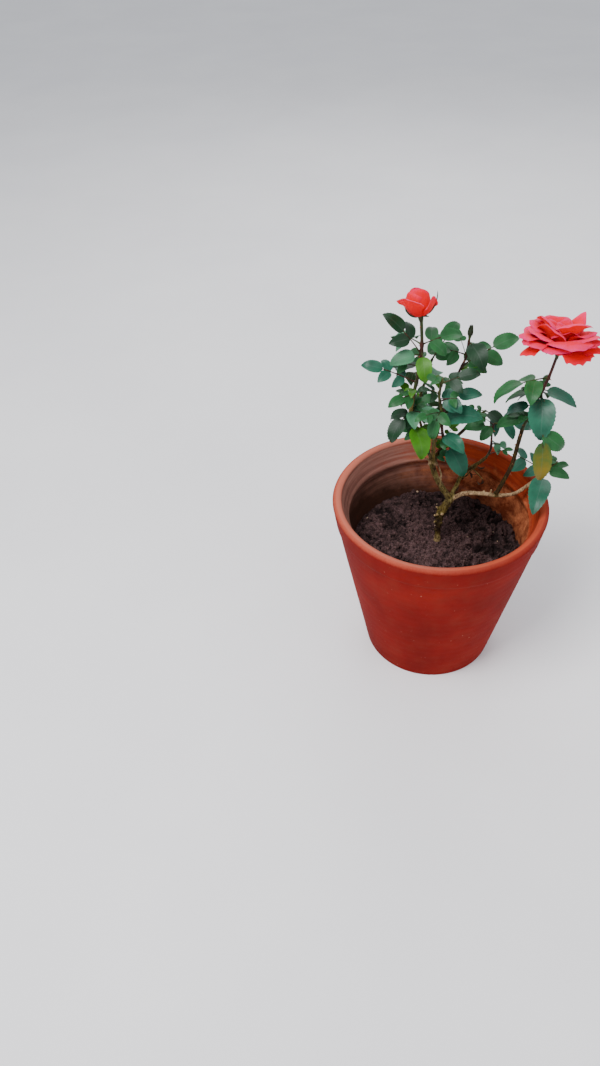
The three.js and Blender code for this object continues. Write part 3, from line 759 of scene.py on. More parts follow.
def hornMaterial():
    material, where = startMaterial("prickleHorn")
    streaks = where.stretched(*woodGrain).noise(540, 5, 0.65)
    colour = streaks.ramp((0.34, paint(120, 60, 44)), (0.62, paint(168, 104, 74)))
    colour = where.noise(132, 4).span(0.52, 0.72).mix(colour, paint(140, 92, 60))
    return endMaterial(material, 0.5, 0.15, colour, (streaks, 0.7, 0.0012))


def clayMaterial():
    material, where = startMaterial("firedClay")
    x, y, z = where.split()
    broad, mid, fine = where.noise(9, 5, 0.6), where.noise(38, 5, 0.62), where.noise(420, 4, 0.6)
    clay = broad.ramp((0.3, paint(104, 10, 4)), (0.52, paint(122, 13, 5)), (0.72, paint(138, 25, 12)))
    clay = mid.span(0.45, 0.8, 0, 0.5).mix(clay, paint(116, 38, 26))
    clay = where.noise(160, 2).span(0.72, 0.78, 0, 0.5).mix(clay, paint(176, 120, 100))
    # the middle of the wall tells inside from outside
    slope = (outerAt(potSizes["height"]) - potSizes["footRadius"]) / potSizes["height"]
    middle = (potSizes["footRadius"] - potSizes["wall"] / 2) * toMetres
    inner = (z * slope + middle + (x * x + y * y).math("SQRT") * -1).span(-0.001, 0.001)
    # inside the collar: cleaner orange on the right, chalky on the left and at the back
    rings = where.stretched(0.12, 0.12, 3).noise(60, 4, 0.6)
    inside = rings.span(0.35, 0.65).mix(paint(170, 62, 30), paint(136, 42, 20))
    spots = where.noise(48, 8, 0.78).span(0.4, 0.64).mix(paint(112, 48, 26), paint(206, 122, 80))
    clay = inner.mix(clay, (z + mid * 0.05).span(0.282, 0.262).mix(inside, spots))
    chalk = (x * -4.6 + rings * 1.1 + mid * 0.6).span(0.55, 1.1, 0, 0.9) * inner
    clay = chalk.mix(clay, rings.span(0.35, 0.62).mix(paint(112, 78, 70), paint(158, 112, 98)))
    # damp soil stain and painted shade just above the soil, darkest on the left
    stainAndShade = (z + mid * 0.04 + (x * 0.24 + y * 0.06)).span(0.262, 0.212, 0, 0.95) * inner
    clay = stainAndShade.mix(clay, mid.mix(paint(28, 17, 13), paint(66, 36, 22)))
    # the top of the lip is painted paler, as rubbed wear and as a painted highlight, and more so where it is
    # chalky
    lipWearAndHighlight = (z + fine * 0.004).span(0.2765, 0.2815) * (x * -3.5 + broad).span(0.2, 1, 0.25, 0.8)
    clay = lipWearAndHighlight.mix(clay, paint(186, 92, 70))
    return endMaterial(material, 0.82, 0.12, clay, (mid * 0.6 + fine * 0.5, 0.45, 0.0012))


def soilMaterial(name, dark, light, grey, shadedCrevice=True):
    material, where = startMaterial(name)
    x, y, z = where.split()
    clumps, grains, fine = where.noise(55, 6, 0.7), where.noise(150, 5, 0.72), where.noise(520, 4, 0.7)
    colour = (clumps * 0.35 + grains * 0.65).ramp((0.38, paint(*dark)), (0.6, paint(*light)))
    colour = fine.span(0.56, 0.74).mix(colour, paint(*grey))
    # painted shade: darker towards the back and the right, and down in the cracks
    shade = x + y * 1.2 + clumps.span(0.3, 0.7, -0.05, 0.05)
    colour = shade.span(-0.03, 0.09, 0, 0.4).mix(colour, paint(*dark))
    if shadedCrevice:
        # painted shade: the lower the surface, the darker, so the cracks between clods are painted dark
        deep = z + grains.span(0.3, 0.7, -0.0015, 0.0015)
        colour = deep.span(0.1895, 0.1835, 0, 0.85).mix(colour, toned(paint(*dark), 0.5))
    return endMaterial(material, 0.95, 0.2, colour, (clumps + grains + fine * 0.5, 0.9, 0.0035))


leafTints = {
    "dark": leafMaterial("leafDark", paint(8, 50, 22)),
    "mid": leafMaterial("leafMid", paint(34, 94, 46)),
    "teal": leafMaterial("leafTeal", paint(24, 90, 66), 0.42, 0.15, 0.34),
    "bright": leafMaterial("leafBright", paint(60, 116, 10)),
    "pale": leafMaterial("leafPale", paint(68, 124, 88), 0.5),
    "yellow": leafMaterial("leafYellow", paint(22, 80, 34), 0.5, tip=paint(116, 100, 8)),
    "under": leafMaterial("leafUnder", paint(54, 86, 50), 0.6, 0.5, 0.2),
    "dry": leafMaterial("leafDry", paint(58, 36, 22), 0.8, 0.5, 0.1),
}
petalTints = [  # from the seat to the edge, deep red to pink, partly the petal's own colour and partly painted shade at the seat and a painted highlight at the edge; the last is a darker copy for the lowest petals, painted shade under the petals above
    petalMaterial("petalFace", paint(230, 0, 22), paint(248, 0, 60), paint(254, 34, 104)),
    petalMaterial("petalBack", paint(234, 0, 14), paint(240, 0, 24), paint(250, 14, 66)),
    petalMaterial("petalShadedLow", paint(186, 0, 12), paint(214, 0, 20), paint(236, 8, 52)),
]


# Pot

clayFinish = {
    "sides": 168, "step": 4.0, "lipSteps": 12, "lipDepth": 5, "footDepth": 6,
    "wobble": 0.5, "rings": 0.12, "ringTurn": 1.15, "pits": 0.22, "chips": 1.0, "wear": 0.3,
    "widths": {"wobble": 110, "pits": 9, "chips": 13, "wear": 40},
}


def densify(profile, step):
    dense = [profile[0]]
    for a, b in zip(profile, profile[1:]):
        count = max(1, round(dist(a, b) / step))
        dense += [(lerp(a[0], b[0], k / count), lerp(a[1], b[1], k / count)) for k in range(1, count + 1)]
    return dense


def potProfile():
    p = potSizes
    foot, floor, rounding = p["footRadius"], p["floor"], p["floorRound"]
    collar = p["height"] - p["collarDepth"]
    ridge = collar + p["collarStep"]
    under = collar - p["ridgeUndercut"]
    body, step, ledge = outerAt(collar), p["collarStep"], p["ridgeRadius"]
    top = ridge + p["ridgeHeight"]
    turns = [pi * i / clayFinish["lipSteps"] for i in range(clayFinish["lipSteps"] + 1)]
    return [
        (0, 0), (foot - p["footBevel"], 0), (foot - 0.5, 0.5), (foot, p["footBevel"]),
        (body - 0.1, collar - 0.8), (body + 0.5, collar),
        (body + step - 0.4, collar + 0.4), (body + step, ridge),
        *((p["rimRadius"] - p["lipWidth"] / 2 * (1 - cos(a)), p["height"] - p["lipRound"] * (1 - sin(a)))
          for a in turns),
        (ledge + p["ridgeLip"] + 1, top + 2), (ledge + p["ridgeLip"] - 1, top), (ledge, ridge + 1),
        (ledge + 0.3, ridge - 1), (innerAt(under), under), (innerAt(floor + rounding), floor + rounding),
        (innerAt(floor) - rounding, floor), (0, floor)]


def makePot():
    f, sides = clayFinish, clayFinish["sides"]
    profile = densify(potProfile(), f["step"])[1:-1]
    flat = np.array([(r * cos(a), r * sin(a), z) for r, z in profile for a in circle(sides)])
    radius = np.maximum(np.hypot(flat[:, 0], flat[:, 1]), 1)
    outward = np.c_[flat[:, :2] / radius[:, None], np.zeros(len(flat))]
    z = flat[:, 2]

    def relief(kind, offset):
        return grain(flat, f["widths"][kind], 2, offset)

    # it wobbles as a thrown pot does, with pits and a chipped lip; its foot stays flat
    wobble = relief("wobble", 3.0) * f["wobble"] + np.sin(z * f["ringTurn"]) * f["rings"]
    wobble -= np.maximum(relief("pits", 7.0) - 0.35, 0) * f["pits"]
    high = np.clip((z - (potSizes["height"] - f["lipDepth"])) / f["lipDepth"], 0, 1)
    standing = np.clip(z / f["footDepth"], 0, 1)
    chips = np.maximum(relief("chips", 21.0) - 0.38, 0) * high * f["chips"]
    flat = flat + outward * (wobble * standing - np.abs(wobble) * 0.4 * high)[:, None]
    flat[:, 2] -= chips * 2 + np.abs(relief("wear", 5.0)) * f["wear"] * high
    count, base = len(profile), len(flat)
    faces = ringFaces(count, sides)
    for k in range(sides):
        n = (k + 1) % sides
        faces += [(base, n, k), (base + 1, (count - 1) * sides + k, (count - 1) * sides + n)]
    batch = newBatch()
    addTo(batch, np.vstack([flat, [(0, 0, 0), (0, 0, potSizes["floor"])]]), faces, 0)
    return finishBatch(batch, "claypot", [clayMaterial()], 50)


potPiece = makePot()
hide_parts("pot")
print("pot thrown")


# Soil

soilFinish = {
    "rings": 100, "sides": 280, "mound": 1.2, "moundWidth": 11, "below": (160, 120, 80, 40),
    "loose": (0.4, 1.1), "looseWidth": 60,
    # how wide and how high
    "clods": (17, 15), "rough": (8, 11), "pits": (4.6, 12), "fine": (2.8, 2.8),
    # a low ridge runs from the trunk to the right, with a hollow behind its end: height, middle, half sizes
    "swells": ((5, 38, 8, 34, 13), (-8, 62, -16, 15, 9)),
    "paints": ((28, 17, 16), (98, 72, 72), (136, 108, 110)),
}
scatters = {
    "soilcrumbs": dict(count=2600, size=(0.7, 3.2), rough=0.0022, margin=4, seed=5, shadedCrevice=True,
                       material="soilCrumb", paints=((32, 20, 18), (102, 76, 74), (138, 110, 110))),
    "soilgrits": dict(count=12, size=(1.2, 2.8), rough=0.001, margin=6, seed=9, shadedCrevice=False,
                      material="paleGrit", paints=((170, 140, 116), (214, 190, 160), (150, 120, 96))),
}


def clumpPlaces():
    # rows of clumps, each moved a little from its even place, up or down by chance
    s = soilSizes
    random = makeRandom(s["clumpSeed"])
    places = []
    for row in range(-5, 6):
        for column in range(-5, 6):
            x = (column + abs(row) % 2 / 2) * s["clumpSpacing"] + either(random, s["clumpJitter"])
            y = row * s["clumpSpacing"] * sqrt(3) / 2 + either(random, s["clumpJitter"])
            places.append((x, y, (random() * 2 - 1) * s["clumpHeight"]))
    return np.array(places)


clumps = clumpPlaces()


def soilHeight(x, y):
    s, f = soilSizes, soilFinish
    radius = hypot(x, y)
    edge = innerAt(s["level"])
    t = max(0.0, (radius - s["flat"]) / (edge - s["flat"]))
    sink = s["slope"] * sin(min(t, s["lowest"]) / s["lowest"] * pi / 2)
    sink -= (s["slope"] - s["dip"]) * max(0, t - s["lowest"]) / (1 - s["lowest"])
    fade = clamp((radius - s["smoothRadius"]) / s["smoothRadius"]) * clamp((edge - radius) / s["smoothEdge"])
    far = (clumps[:, 0] - x) ** 2 + (clumps[:, 1] - y) ** 2
    main = (clumps[:, 2] * np.exp(-far / s["clumpWidth"] ** 2)).sum()

    def lumps(width, *shift):
        return noise.noise(Vector((x, y, 0)) / width + Vector(shift))

    def swell(height, cx, cy, wide, deep):
        return height * exp(-(((x - cx) / wide) ** 2 + ((y - cy) / deep) ** 2))

    # looser, with larger clods, towards the back and the right
    loose = f["loose"][0] + f["loose"][1] * clamp(lumps(f["looseWidth"], 4, 1, 6) + 0.35 + (x + y) / 200)
    (clod, clodHeight), (rough, roughHeight) = f["clods"], f["rough"]
    (pit, pitDepth), (fine, fineHeight) = f["pits"], f["fine"]
    lump = (0.3 - abs(lumps(clod, 9, 2, 4))) * clodHeight * loose
    lump += (abs(lumps(rough, 3, 8, 1)) - 0.2) * roughHeight * loose
    lump -= max(0, lumps(pit, 6, 3, 2) - 0.1) * pitDepth
    lump += (abs(lumps(fine, 1, 5, 7)) - 0.2) * fineHeight
    lump += sum(swell(*size) for size in f["swells"])
    near = swell(1, *boughs["trunk"]["start"][:2], f["moundWidth"], f["moundWidth"])
    wallFade = min(1, (edge + 6 - radius) / s["smoothEdge"])
    return s["level"] - sink + main * fade + lump * (1 - near) * wallFade + f["mound"] * near


def makeSoil():
    f, s, sides = soilFinish, soilSizes, soilFinish["sides"]
    bottom = potSizes["floor"] + s["clear"]
    verts = [(0, 0, soilHeight(0, 0))]

    def wallAt(z):
        return innerAt(z) - s["clear"] * 1.5

    def addRing(radius, z=None):
        for a in circle(sides):
            x, y = radius * cos(a), radius * sin(a)
            verts.append((x, y, soilHeight(x, y) if z is None else z))

    for i in range(1, f["rings"] + 1):
        addRing(wallAt(s["level"] - s["dip"]) * i / f["rings"])
    top = len(verts)
    below = [(wallAt(z), z) for z in (*f["below"], bottom + potSizes["floorRound"])]
    below.append((wallAt(potSizes["floor"]) - potSizes["floorRound"], bottom))
    for ring in below:
        addRing(*ring)
    verts.append((0, 0, bottom))
    faces = []
    rings = f["rings"] + len(below) - 1
    for k in range(sides):
        n = (k + 1) % sides
        faces.append((0, 1 + k, 1 + n))
        for i in range(rings):
            a, b = 1 + i * sides, 1 + (i + 1) * sides
            faces.append((a + k, b + k, b + n, a + n))
        faces.append((1 + rings * sides + k, len(verts) - 1, 1 + rings * sides + n))
    batch = newBatch()
    addTo(batch, verts, faces, 0)
    return finishBatch(batch, "soilbed", [soilMaterial("pottingSoil", *f["paints"])], 60), top


soilPiece, soilTop = makeSoil()
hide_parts("soil")


def crumbTree():
    tree, g = newTree("crumbScatter", ("Density", "Float"), ("Seed", "Int"), ("Smallest", "Float"),
                      ("Largest", "Float"), ("Roughness", "Float"), ("Material", "Material"))

    def chance(inputs, output=0, **settings):
        return addNode(tree, "FunctionNodeRandomValue", inputs, output, **settings)

    def vector(kind, a, **b):
        return addNode(tree, "ShaderNodeVectorMath", {0: a, **b}, operation=kind)

    dots = addNode(tree, "GeometryNodeDistributePointsOnFaces", {
        "Mesh": g["Geometry"], "Density": g["Density"], "Seed": g["Seed"]})
    lump = addNode(tree, "GeometryNodeMeshIcoSphere", {"Radius": 1.0, "Subdivisions": 1})
    wide = chance({"Min": g["Smallest"], "Max": g["Largest"], "Seed": g["Seed"]}, 1)
    shape = chance({0: (0.7, 0.55, 0.5), 1: (1.3, 1.1, 0.9)}, data_type="FLOAT_VECTOR")
    spin = chance({1: (6.28, 6.28, 6.28)}, data_type="FLOAT_VECTOR")
    real = realized(dots, lump, spin, vector("SCALE", shape, Scale=wide))
    ripple = addNode(tree, "ShaderNodeTexNoise", {"Scale": 700, "Detail": 1}, "Color")
    centred = addNode(tree, "ShaderNodeVectorMath", {0: ripple, 1: (0.5, 0.5, 0.5)}, operation="SUBTRACT")
    moved = addNode(tree, "GeometryNodeSetPosition", {
        "Geometry": real, "Offset": vector("SCALE", centred, Scale=g["Roughness"])})
    endTree(moved, g["Material"])
    return tree


def soilSkin(reach):
    # the soil's top alone, as far out as reach, for things to lie on
    mesh = soilPiece.data
    verts = [tuple(v.co) for v in mesh.vertices[:soilTop]]
    faces = [tuple(p.vertices) for p in mesh.polygons if max(p.vertices) < soilTop and
             max(hypot(*verts[i][:2]) for i in p.vertices) < reach * toMetres]
    skin = bpy.data.meshes.new("soilSkin")
    skin.from_pydata(verts, [], faces)
    skin.update()
    return addObject("soilSkin", skin)


def scatterSoil(tree, name, s):
    return runTree(tree, soilSkin(innerAt(186) - s["margin"]), {
        "Density": s["count"] / (pi * (innerAt(soilSizes["level"]) * toMetres) ** 2), "Seed": s["seed"],
        "Smallest": s["size"][0] * toMetres, "Largest": s["size"][1] * toMetres, "Roughness": s["rough"],
        "Material": soilMaterial(s["material"], *s["paints"], s["shadedCrevice"])}, name)


scatterTree = crumbTree()
soilBits = [scatterSoil(scatterTree, name, s) for name, s in scatters.items()]
print("soil raked")


# Bark: trunk and boughs fused into one skin with relief

barkFinish = {
    "sides": 16, "step": 2.0, "voxel": 0.6, "ridge": 0.45, "rough": 0.35, "lump": 0.6, "blend": 1.6,
    "widths": {"ridge": 1.9, "rough": 1.3, "lump": 7}, "stretch": (1, 1, 0.3), "footSunk": 1.5, "lowest": 1.2,
    # along the trunk: share, girth against the drawn one, tone
    "trunkGirth": ((0, 0.66), (0.2, 0.7), (0.36, 0.9), (0.6, 1.1), (0.74, 1.0), (1, 0.95)),
    "trunkTone": ((0, 0.7), (0.16, 0.62), (0.28, 0.05), (0.62, 0.08), (0.74, 0.3), (1, 0.36)),
    "tones": {
        "left_bough": 0.52, "middle_bough": 0.4, "arching_bough": 1.0, "right_upright": 0.1,
        "back_bough": 0.1, "left_dry_twig": 1.0, "fork_twig": 0.9, "middle_dry_twig": 0.3,
        "low_dry_twig": 0.5,
    },
    # how rough with age
    "ages": {"trunk": 1.0, "left_bough": 0.7, "middle_bough": 0.6}, "age": 0.35,
    # knobs and cut snags on each limb: share, heading, rise, length, radius; the long ones have pale ends
    "paleFrom": 4.5, "paleReach": 2.6, "paleTone": 0.9,
    "stubs": {
        "trunk": (
            (0.3, 200, 10, 2.2, 2.6), (0.42, 120, 20, 3.0, 2.2), (0.46, 300, 10, 3.6, 2.4),
            (0.5, 205, 0, 7.0, 1.7), (0.58, 195, 30, 9.0, 1.5), (0.6, 30, 15, 3.6, 2.3),
            (0.66, 222, 12, 8.0, 1.8), (0.72, 178, 34, 9.5, 1.4), (0.7, 262, 5, 5.0, 2.4),
            (0.84, 330, 0, 3.0, 2.4)),
        "left_bough": (
            (0.3, 250, 20, 3.4, 1.6), (0.84, 200, 35, 7.0, 1.7), (0.9, 300, 10, 4.6, 1.9),
            (0.95, 80, 30, 6.0, 1.5)),
        "middle_bough": ((0.5, 300, 40, 4.0, 1.2),),
        "arching_bough": ((0.36, 90, 50, 3.2, 1.4), (0.42, 60, 66, 9.0, 1.2), (0.55, 260, 40, 3.4, 1.4)),
        "right_upright": ((0.05, 200, 20, 3.6, 1.8),),
    },
}
dryTwigs = {
    "left_dry_twig": dict(
        on=("left_bough", 0.42), length=46, radii=(1.5, 1.0), lean=(8, 20, 26), heading=(60, 172, 150)),
    "fork_twig": dict(
        on=("left_bough", 0.93), length=22, radii=(1.2, 0.8), lean=(60, 40, 50), heading=(215, 220, 200)),
    "middle_dry_twig": dict(
        on=("middle_bough", 0.42), length=34, radii=(1.0, 0.6), lean=(50, 30, 62), heading=(330, 345, 20)),
    "low_dry_twig": dict(
        on=("middle_bough", 0.7), length=26, radii=(0.9, 0.5), lean=(100, 120, 96), heading=(300, 320, 290)),
}


def roughLimbs(stubs):
    # plain tubes and stubs, fused into one skin
    f = barkFinish
    batch = newBatch()
    for name, limb in (*boughs.items(), *dryTwigs.items()):
        shares, places = limbLines[name].steps(f["step"])
        girth = np.ones(len(shares))
        if name == "trunk":
            places[0, 2] -= f["footSunk"]
            girth = np.interp(shares, *zip(*f["trunkGirth"]))
        radii = [limbRadius(limb, s) * g for s, g in zip(shares, girth)]
        addTube(batch, places, radii, f["sides"], 0, 0.05, len(name))
    for root, out, reach, radius, _ in stubs:
        addTube(batch, [root + out * reach * t for t in (0, 0.6, 0.9, 1)],
                [radius * 1.25, radius * 1.05, radius, radius * 0.6], 10)
    rough = finishBatch(batch, "roughLimbs", [])
    fuse = rough.modifiers.new("fuse", "REMESH")
    fuse.mode = "VOXEL"
    fuse.voxel_size = f["voxel"] * toMetres
    fuse.use_smooth_shade = True
    return evaluatedMesh(rough, "bark")


def readVectors(data, field):
    values = np.empty(len(data) * 3)
    data.foreach_get(field, values)
    return values.reshape(-1, 3)


def makeBark():
    f = barkFinish
    for name, limb in dryTwigs.items():
        placeLimb(name, limb)
    stubs = [
        (limbLines[name].at(share), pointing(rise, heading), limbRadius(boughs[name], share) + length * 0.6,
         radius, length > f["paleFrom"])
        for name, rows in f["stubs"].items() for share, heading, rise, length, radius in rows]
    mesh = roughLimbs(stubs)
    places = readVectors(mesh.vertices, "co") / toMetres
    normals = readVectors(mesh.vertex_normals, "vector")
    # tone and age blend from limb to limb at the forks
    weights, tones, ages = 0, 0, 0
    shares, trunkTones = zip(*f["trunkTone"])
    trunkTone = np.interp(places[:, 2], [limbLines["trunk"].at(share)[2] for share in shares], trunkTones)
    for name, limb in (*boughs.items(), *dryTwigs.items()):
        far = farFrom(places, limbLines[name].places[::6]) - max(limb["radii"])
        weight = np.exp(-np.clip(far, -3, 60) / f["blend"])
        weights = weights + weight
        tones = tones + weight * (trunkTone if name == "trunk" else f["tones"][name])
        ages = ages + weight * f["ages"].get(name, f["age"])
    tones = tones / weights
    for root, out, reach, _, pale in stubs:
        far = np.linalg.norm(places - (root + out * reach), axis=1)
        tones = tones + f["paleTone"] * pale * np.exp(-(far / f["paleReach"]) ** 2)
    ridges = 1 - np.abs(grain(places * f["stretch"], f["widths"]["ridge"], 2, 4.0)) * 2.2
    relief = ridges * f["ridge"] + grain(places, f["widths"]["rough"], 2, 11.0) * f["rough"]
    relief += grain(places, f["widths"]["lump"], 2, 17.0) * f["lump"]
    places = places + normals * (relief * (ages / weights))[:, None]
    places[:, 2] = np.maximum(places[:, 2], soilSizes["level"] - f["lowest"])
    mesh.vertices.foreach_set("co", (places * toMetres).ravel())
    layer = mesh.attributes.new("tone", "FLOAT", "POINT")
    layer.data.foreach_set("value", np.clip(tones, 0, 1).astype(np.float32))
    mesh.update()
    mesh.materials.clear()
    mesh.materials.append(woodMaterial("oldBark", "bark"))
    return addPiece("bark", mesh)


barkPiece = makeBark()
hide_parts(*boughs)


# Shoots: the stems of the masses and the leaf stalks

shootFinish = {
    "sides": 10, "step": 3.0, "node": 0.28, "nodeReach": 2.6, "slim": 0.88,
    "stalkSides": 6, "stalkWidth": 0.74, "youngWidth": 0.6, "stalkTaper": (1.7, 1.05, 0.9, 0.85, 0.8),
    "stalkTone": (0.05, 0.36), "stalkSeed": 700,
    # tone of the rind along each stem: share, tone
    "tones": {
        "left_flower_shoot": (
            (0, 0.95), (0.5, 0.85), (0.62, 0.3), (0.7, 0.03), (0.86, 0.03), (0.92, 0.3), (1, 0.32)),
        "centre_shoot": ((0, 0.9), (0.3, 0.75), (1, 0.4)),
        "back_shoot": ((0, 0.85), (0.5, 0.6), (1, 0.35)),
        "tall_bud_shoot": ((0, 0.3), (0.15, 0.05), (0.9, 0.03), (1, 0.2)),
        "back_spray": ((0, 0.35), (1, 0.3)),
        "middle_shoot": ((0, 0.15), (1, 0.05)),
        "right_flower_shoot": ((0, 0.25), (0.3, 0.2), (0.8, 0.03), (1, 0.0)),
        "rim_shoot": ((0, 0.85), (1, 0.3)),
    },
}


def makeShoots():
    f = shootFinish
    batch = newBatch()
    for name, mass in masses.items():
        line = limbLines[name]
        shares, places = line.steps(f["step"])
        nodes = [leaf["share"] for leaf in leaves if leaf["mass"] == name and not leaf["young"]]
        radii = []
        for s in shares:
            swell = sum(exp(-(((s - n) * line.length) / f["nodeReach"]) ** 2) for n in nodes)
            radii.append(limbRadius(mass, s) * (f["slim"] + f["node"] * min(swell, 1)))
        tones = np.interp(shares, *zip(*f["tones"][name]))
        addTube(batch, places, radii, f["sides"], 0, 0.03, mass["seed"], tones)
    for n, leaf in enumerate(leaves):
        width = leafRule["stalkRadius"] * f["stalkWidth"] * (f["youngWidth"] if leaf["young"] else 1)
        tone = lerp(*f["stalkTone"], makeRandom(f["stalkSeed"] + n)())
        addTube(batch, leaf["stalk"], [width * t for t in f["stalkTaper"]], f["stalkSides"],
                tones=[tone + 0.1, tone, tone, tone, tone - 0.05])
    return finishBatch(batch, "shoots", [woodMaterial("youngRind", "rind")], 50)


shootPiece = makeShoots()


# Leaves

leafFinish = {
    "teeth": ((26, 12), (16, 8), (0, 6)),  # on a blade longer than this, so many
    "toothDepth": 0.026, "toothLean": 0.018, "thickness": 0.42, "wave": 0.04, "cup": 0.35, "curl": 26,
    "width": 1.04, "foldSpread": 14, "twist": 16, "narrowest": 0.35, "columns": (-1, -0.5, 0, 0.5, 1),
    "neck": 0.04, "curlFrom": 0.6, "seed": 9000,
    "tints": (("dark", 0.28), ("teal", 0.54), ("mid", 0.82), ("pale", 1)),  # dealt out up to this share
    "youngBright": 0.2, "longYellow": 1.28, "slimYellow": 0.85, "backYellow": 8,
}
leafColours = {  # leaves whose colour stands out, by mass and row
    ("left_flower_shoot", 7): "bright", ("left_flower_shoot", 3): "bright", ("left_flower_shoot", 5): "mid",
    ("right_flower_shoot", 4): "yellow", ("right_flower_shoot", 3): "teal", ("right_flower_shoot", 2): "teal",
    ("tall_bud_shoot", 4): "teal", ("rim_shoot", 2): "teal", ("rim_shoot", 1): "mid",
    ("tall_bud_shoot", 2): "mid", ("centre_shoot", 4): "teal",
}
witheredFinish = {"width": 0.34, "bend": (60, 60), "curl": 2, "thickness": 0.35, "roll": 200, "seed": 77}
# withered leaves that still hang on the old wood: limb, share, heading, rise, length
witheredLeaves = (
    ("middle_bough", 0.3, 300, -50, 13), ("middle_bough", 0.52, 250, -70, 16),
    ("middle_dry_twig", 0.6, 320, -40, 12), ("middle_dry_twig", 1.0, 20, -60, 14),
    ("low_dry_twig", 1.0, 280, -75, 17), ("low_dry_twig", 0.5, 200, -40, 11),
    ("left_bough", 0.86, 330, -60, 12), ("arching_bough", 0.3, 60, -30, 10),
)


def leafGrid(blade, random):
    f = leafFinish
    length, width = blade["length"], blade["width"] * f["width"]
    rows = 2 * next(teeth for longer, teeth in f["teeth"] if length > longer) + 1
    side = unit(np.cross(blade["along"], blade["up"]))
    fold = tan((leafRule["fold"] + either(random, f["foldSpread"])) * degree)
    phase, second = random() * 6.28, random() * 6.28
    twist = either(random, f["twist"])
    curl = f["curl"] * (0.3 + random()) * blade.get("curl", 1)
    grid = np.zeros((rows, len(f["columns"]), 3))
    uv = np.zeros((rows, len(f["columns"]), 2))
    for i, v in enumerate(np.linspace(0, 1, rows)):
        body = max(v - f["neck"], 0) / (1 - f["neck"])
        # broadest below the middle, with a drawn-out tip
        outline = body ** 0.5 * (1 - body) ** 0.82 / 0.42
        half = max(width / 2 * outline, f["narrowest"])
        tooth = f["toothDepth"] * (1 if i % 2 else -1) * (0 < i < rows - 2)
        turn = blade["bend"] * degree * v + curl * degree * max(v - f["curlFrom"], 0) ** 2 * 4
        chord = chordOf(turn)
        forward, down = length * v * chord * cos(turn / 2), length * v * chord * sin(turn / 2)
        for k, u in enumerate(f["columns"]):
            edge = abs(u)
            rim = half * (1 + tooth * (edge == 1)) * u
            ahead = length * f["toothLean"] * (edge == 1) * (i % 2)
            lift = edge * half * fold * (1 - f["cup"] * edge)
            lift += f["wave"] * length * edge * outline * sin(v * 9 + phase + (u > 0) * second) * 0.5
            lift += sine(twist * v) * rim
            grid[i, k] = (blade["root"] + blade["along"] * (forward + ahead + lift * sin(turn))
                          + blade["up"] * (lift * cos(turn) - down) + side * rim)
            uv[i, k] = ((u + 1) / 2, v)
    return grid, uv


def makeLeaves():
    f = leafFinish
    batch = newBatch()
    tintNames = list(leafTints)
    under, dry = tintNames.index("under"), tintNames.index("dry")
    for n, leaf in enumerate(leaves):
        random = makeRandom(f["seed"] + n)
        pick = random()
        if leaf["young"]:
            tint = "bright" if pick < f["youngBright"] else "mid"
        else:
            dealt = next(tint for tint, share in f["tints"] if pick < share)
            tint = leafColours.get((leaf["mass"], leaf["index"]), dealt)
        for k, blade in enumerate(leaf["blades"]):
            shown = "mid" if tint == "yellow" and k else tint
            if shown == "yellow":
                blade = dict(
                    blade, width=blade["width"] * f["slimYellow"], length=blade["length"] * f["longYellow"],
                    root=blade["root"] - blade["along"] * f["backYellow"])
            grid, uv = leafGrid(blade, random)
            addSheet(batch, grid, f["thickness"], uv, tintNames.index(shown), under)
    w = witheredFinish
    random = makeRandom(w["seed"])
    for name, share, heading, rise, length in witheredLeaves:
        along = pointing(rise, heading)
        up = turned(unit(np.cross(sideways(heading), along)), along, w["roll"] * random())
        grid, uv = leafGrid({
            "root": limbLines[name].at(share), "along": along, "up": up, "length": length,
            "width": length * w["width"], "bend": w["bend"][0] + w["bend"][1] * random(), "curl": w["curl"],
        }, random)
        addSheet(batch, grid, w["thickness"], uv, dry, dry)
    return finishBatch(batch, "leaves", list(leafTints.values()), 75)


leafPiece = makeLeaves()
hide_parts(*masses)
print("leaves opened")


# Blooms

# A row of petals from outside in: heading, length, width, lean from the axis at the base and at the
# edge, how far the edge rolls back, the radius of the cup across, how high it is seated, how far the
# sides turn back, how pointed it is, the share at which the roll starts, the share of the roll that
# the middle takes, and how torn the edge is. A row may stop early. For a whole set there are also
# how many share a row, how far out they are seated, how late the lean changes, and the tint above.
petalColumns = (
    "first", "length", "width", "start", "end", "roll", "cup", "rise", "flip", "point", "onset", "crest",
    "torn",
)
usualPetal = {
    "rise": 0, "flip": 1.6, "point": 0.3, "onset": 0.6, "crest": 1, "torn": 0.03,
    "count": 1, "seat": 6, "late": 1.2, "face": 0,
}


def petalSet(*rows, **shared):
    return [{**usualPetal, **shared, **dict(zip(petalColumns, row))} for row in rows]


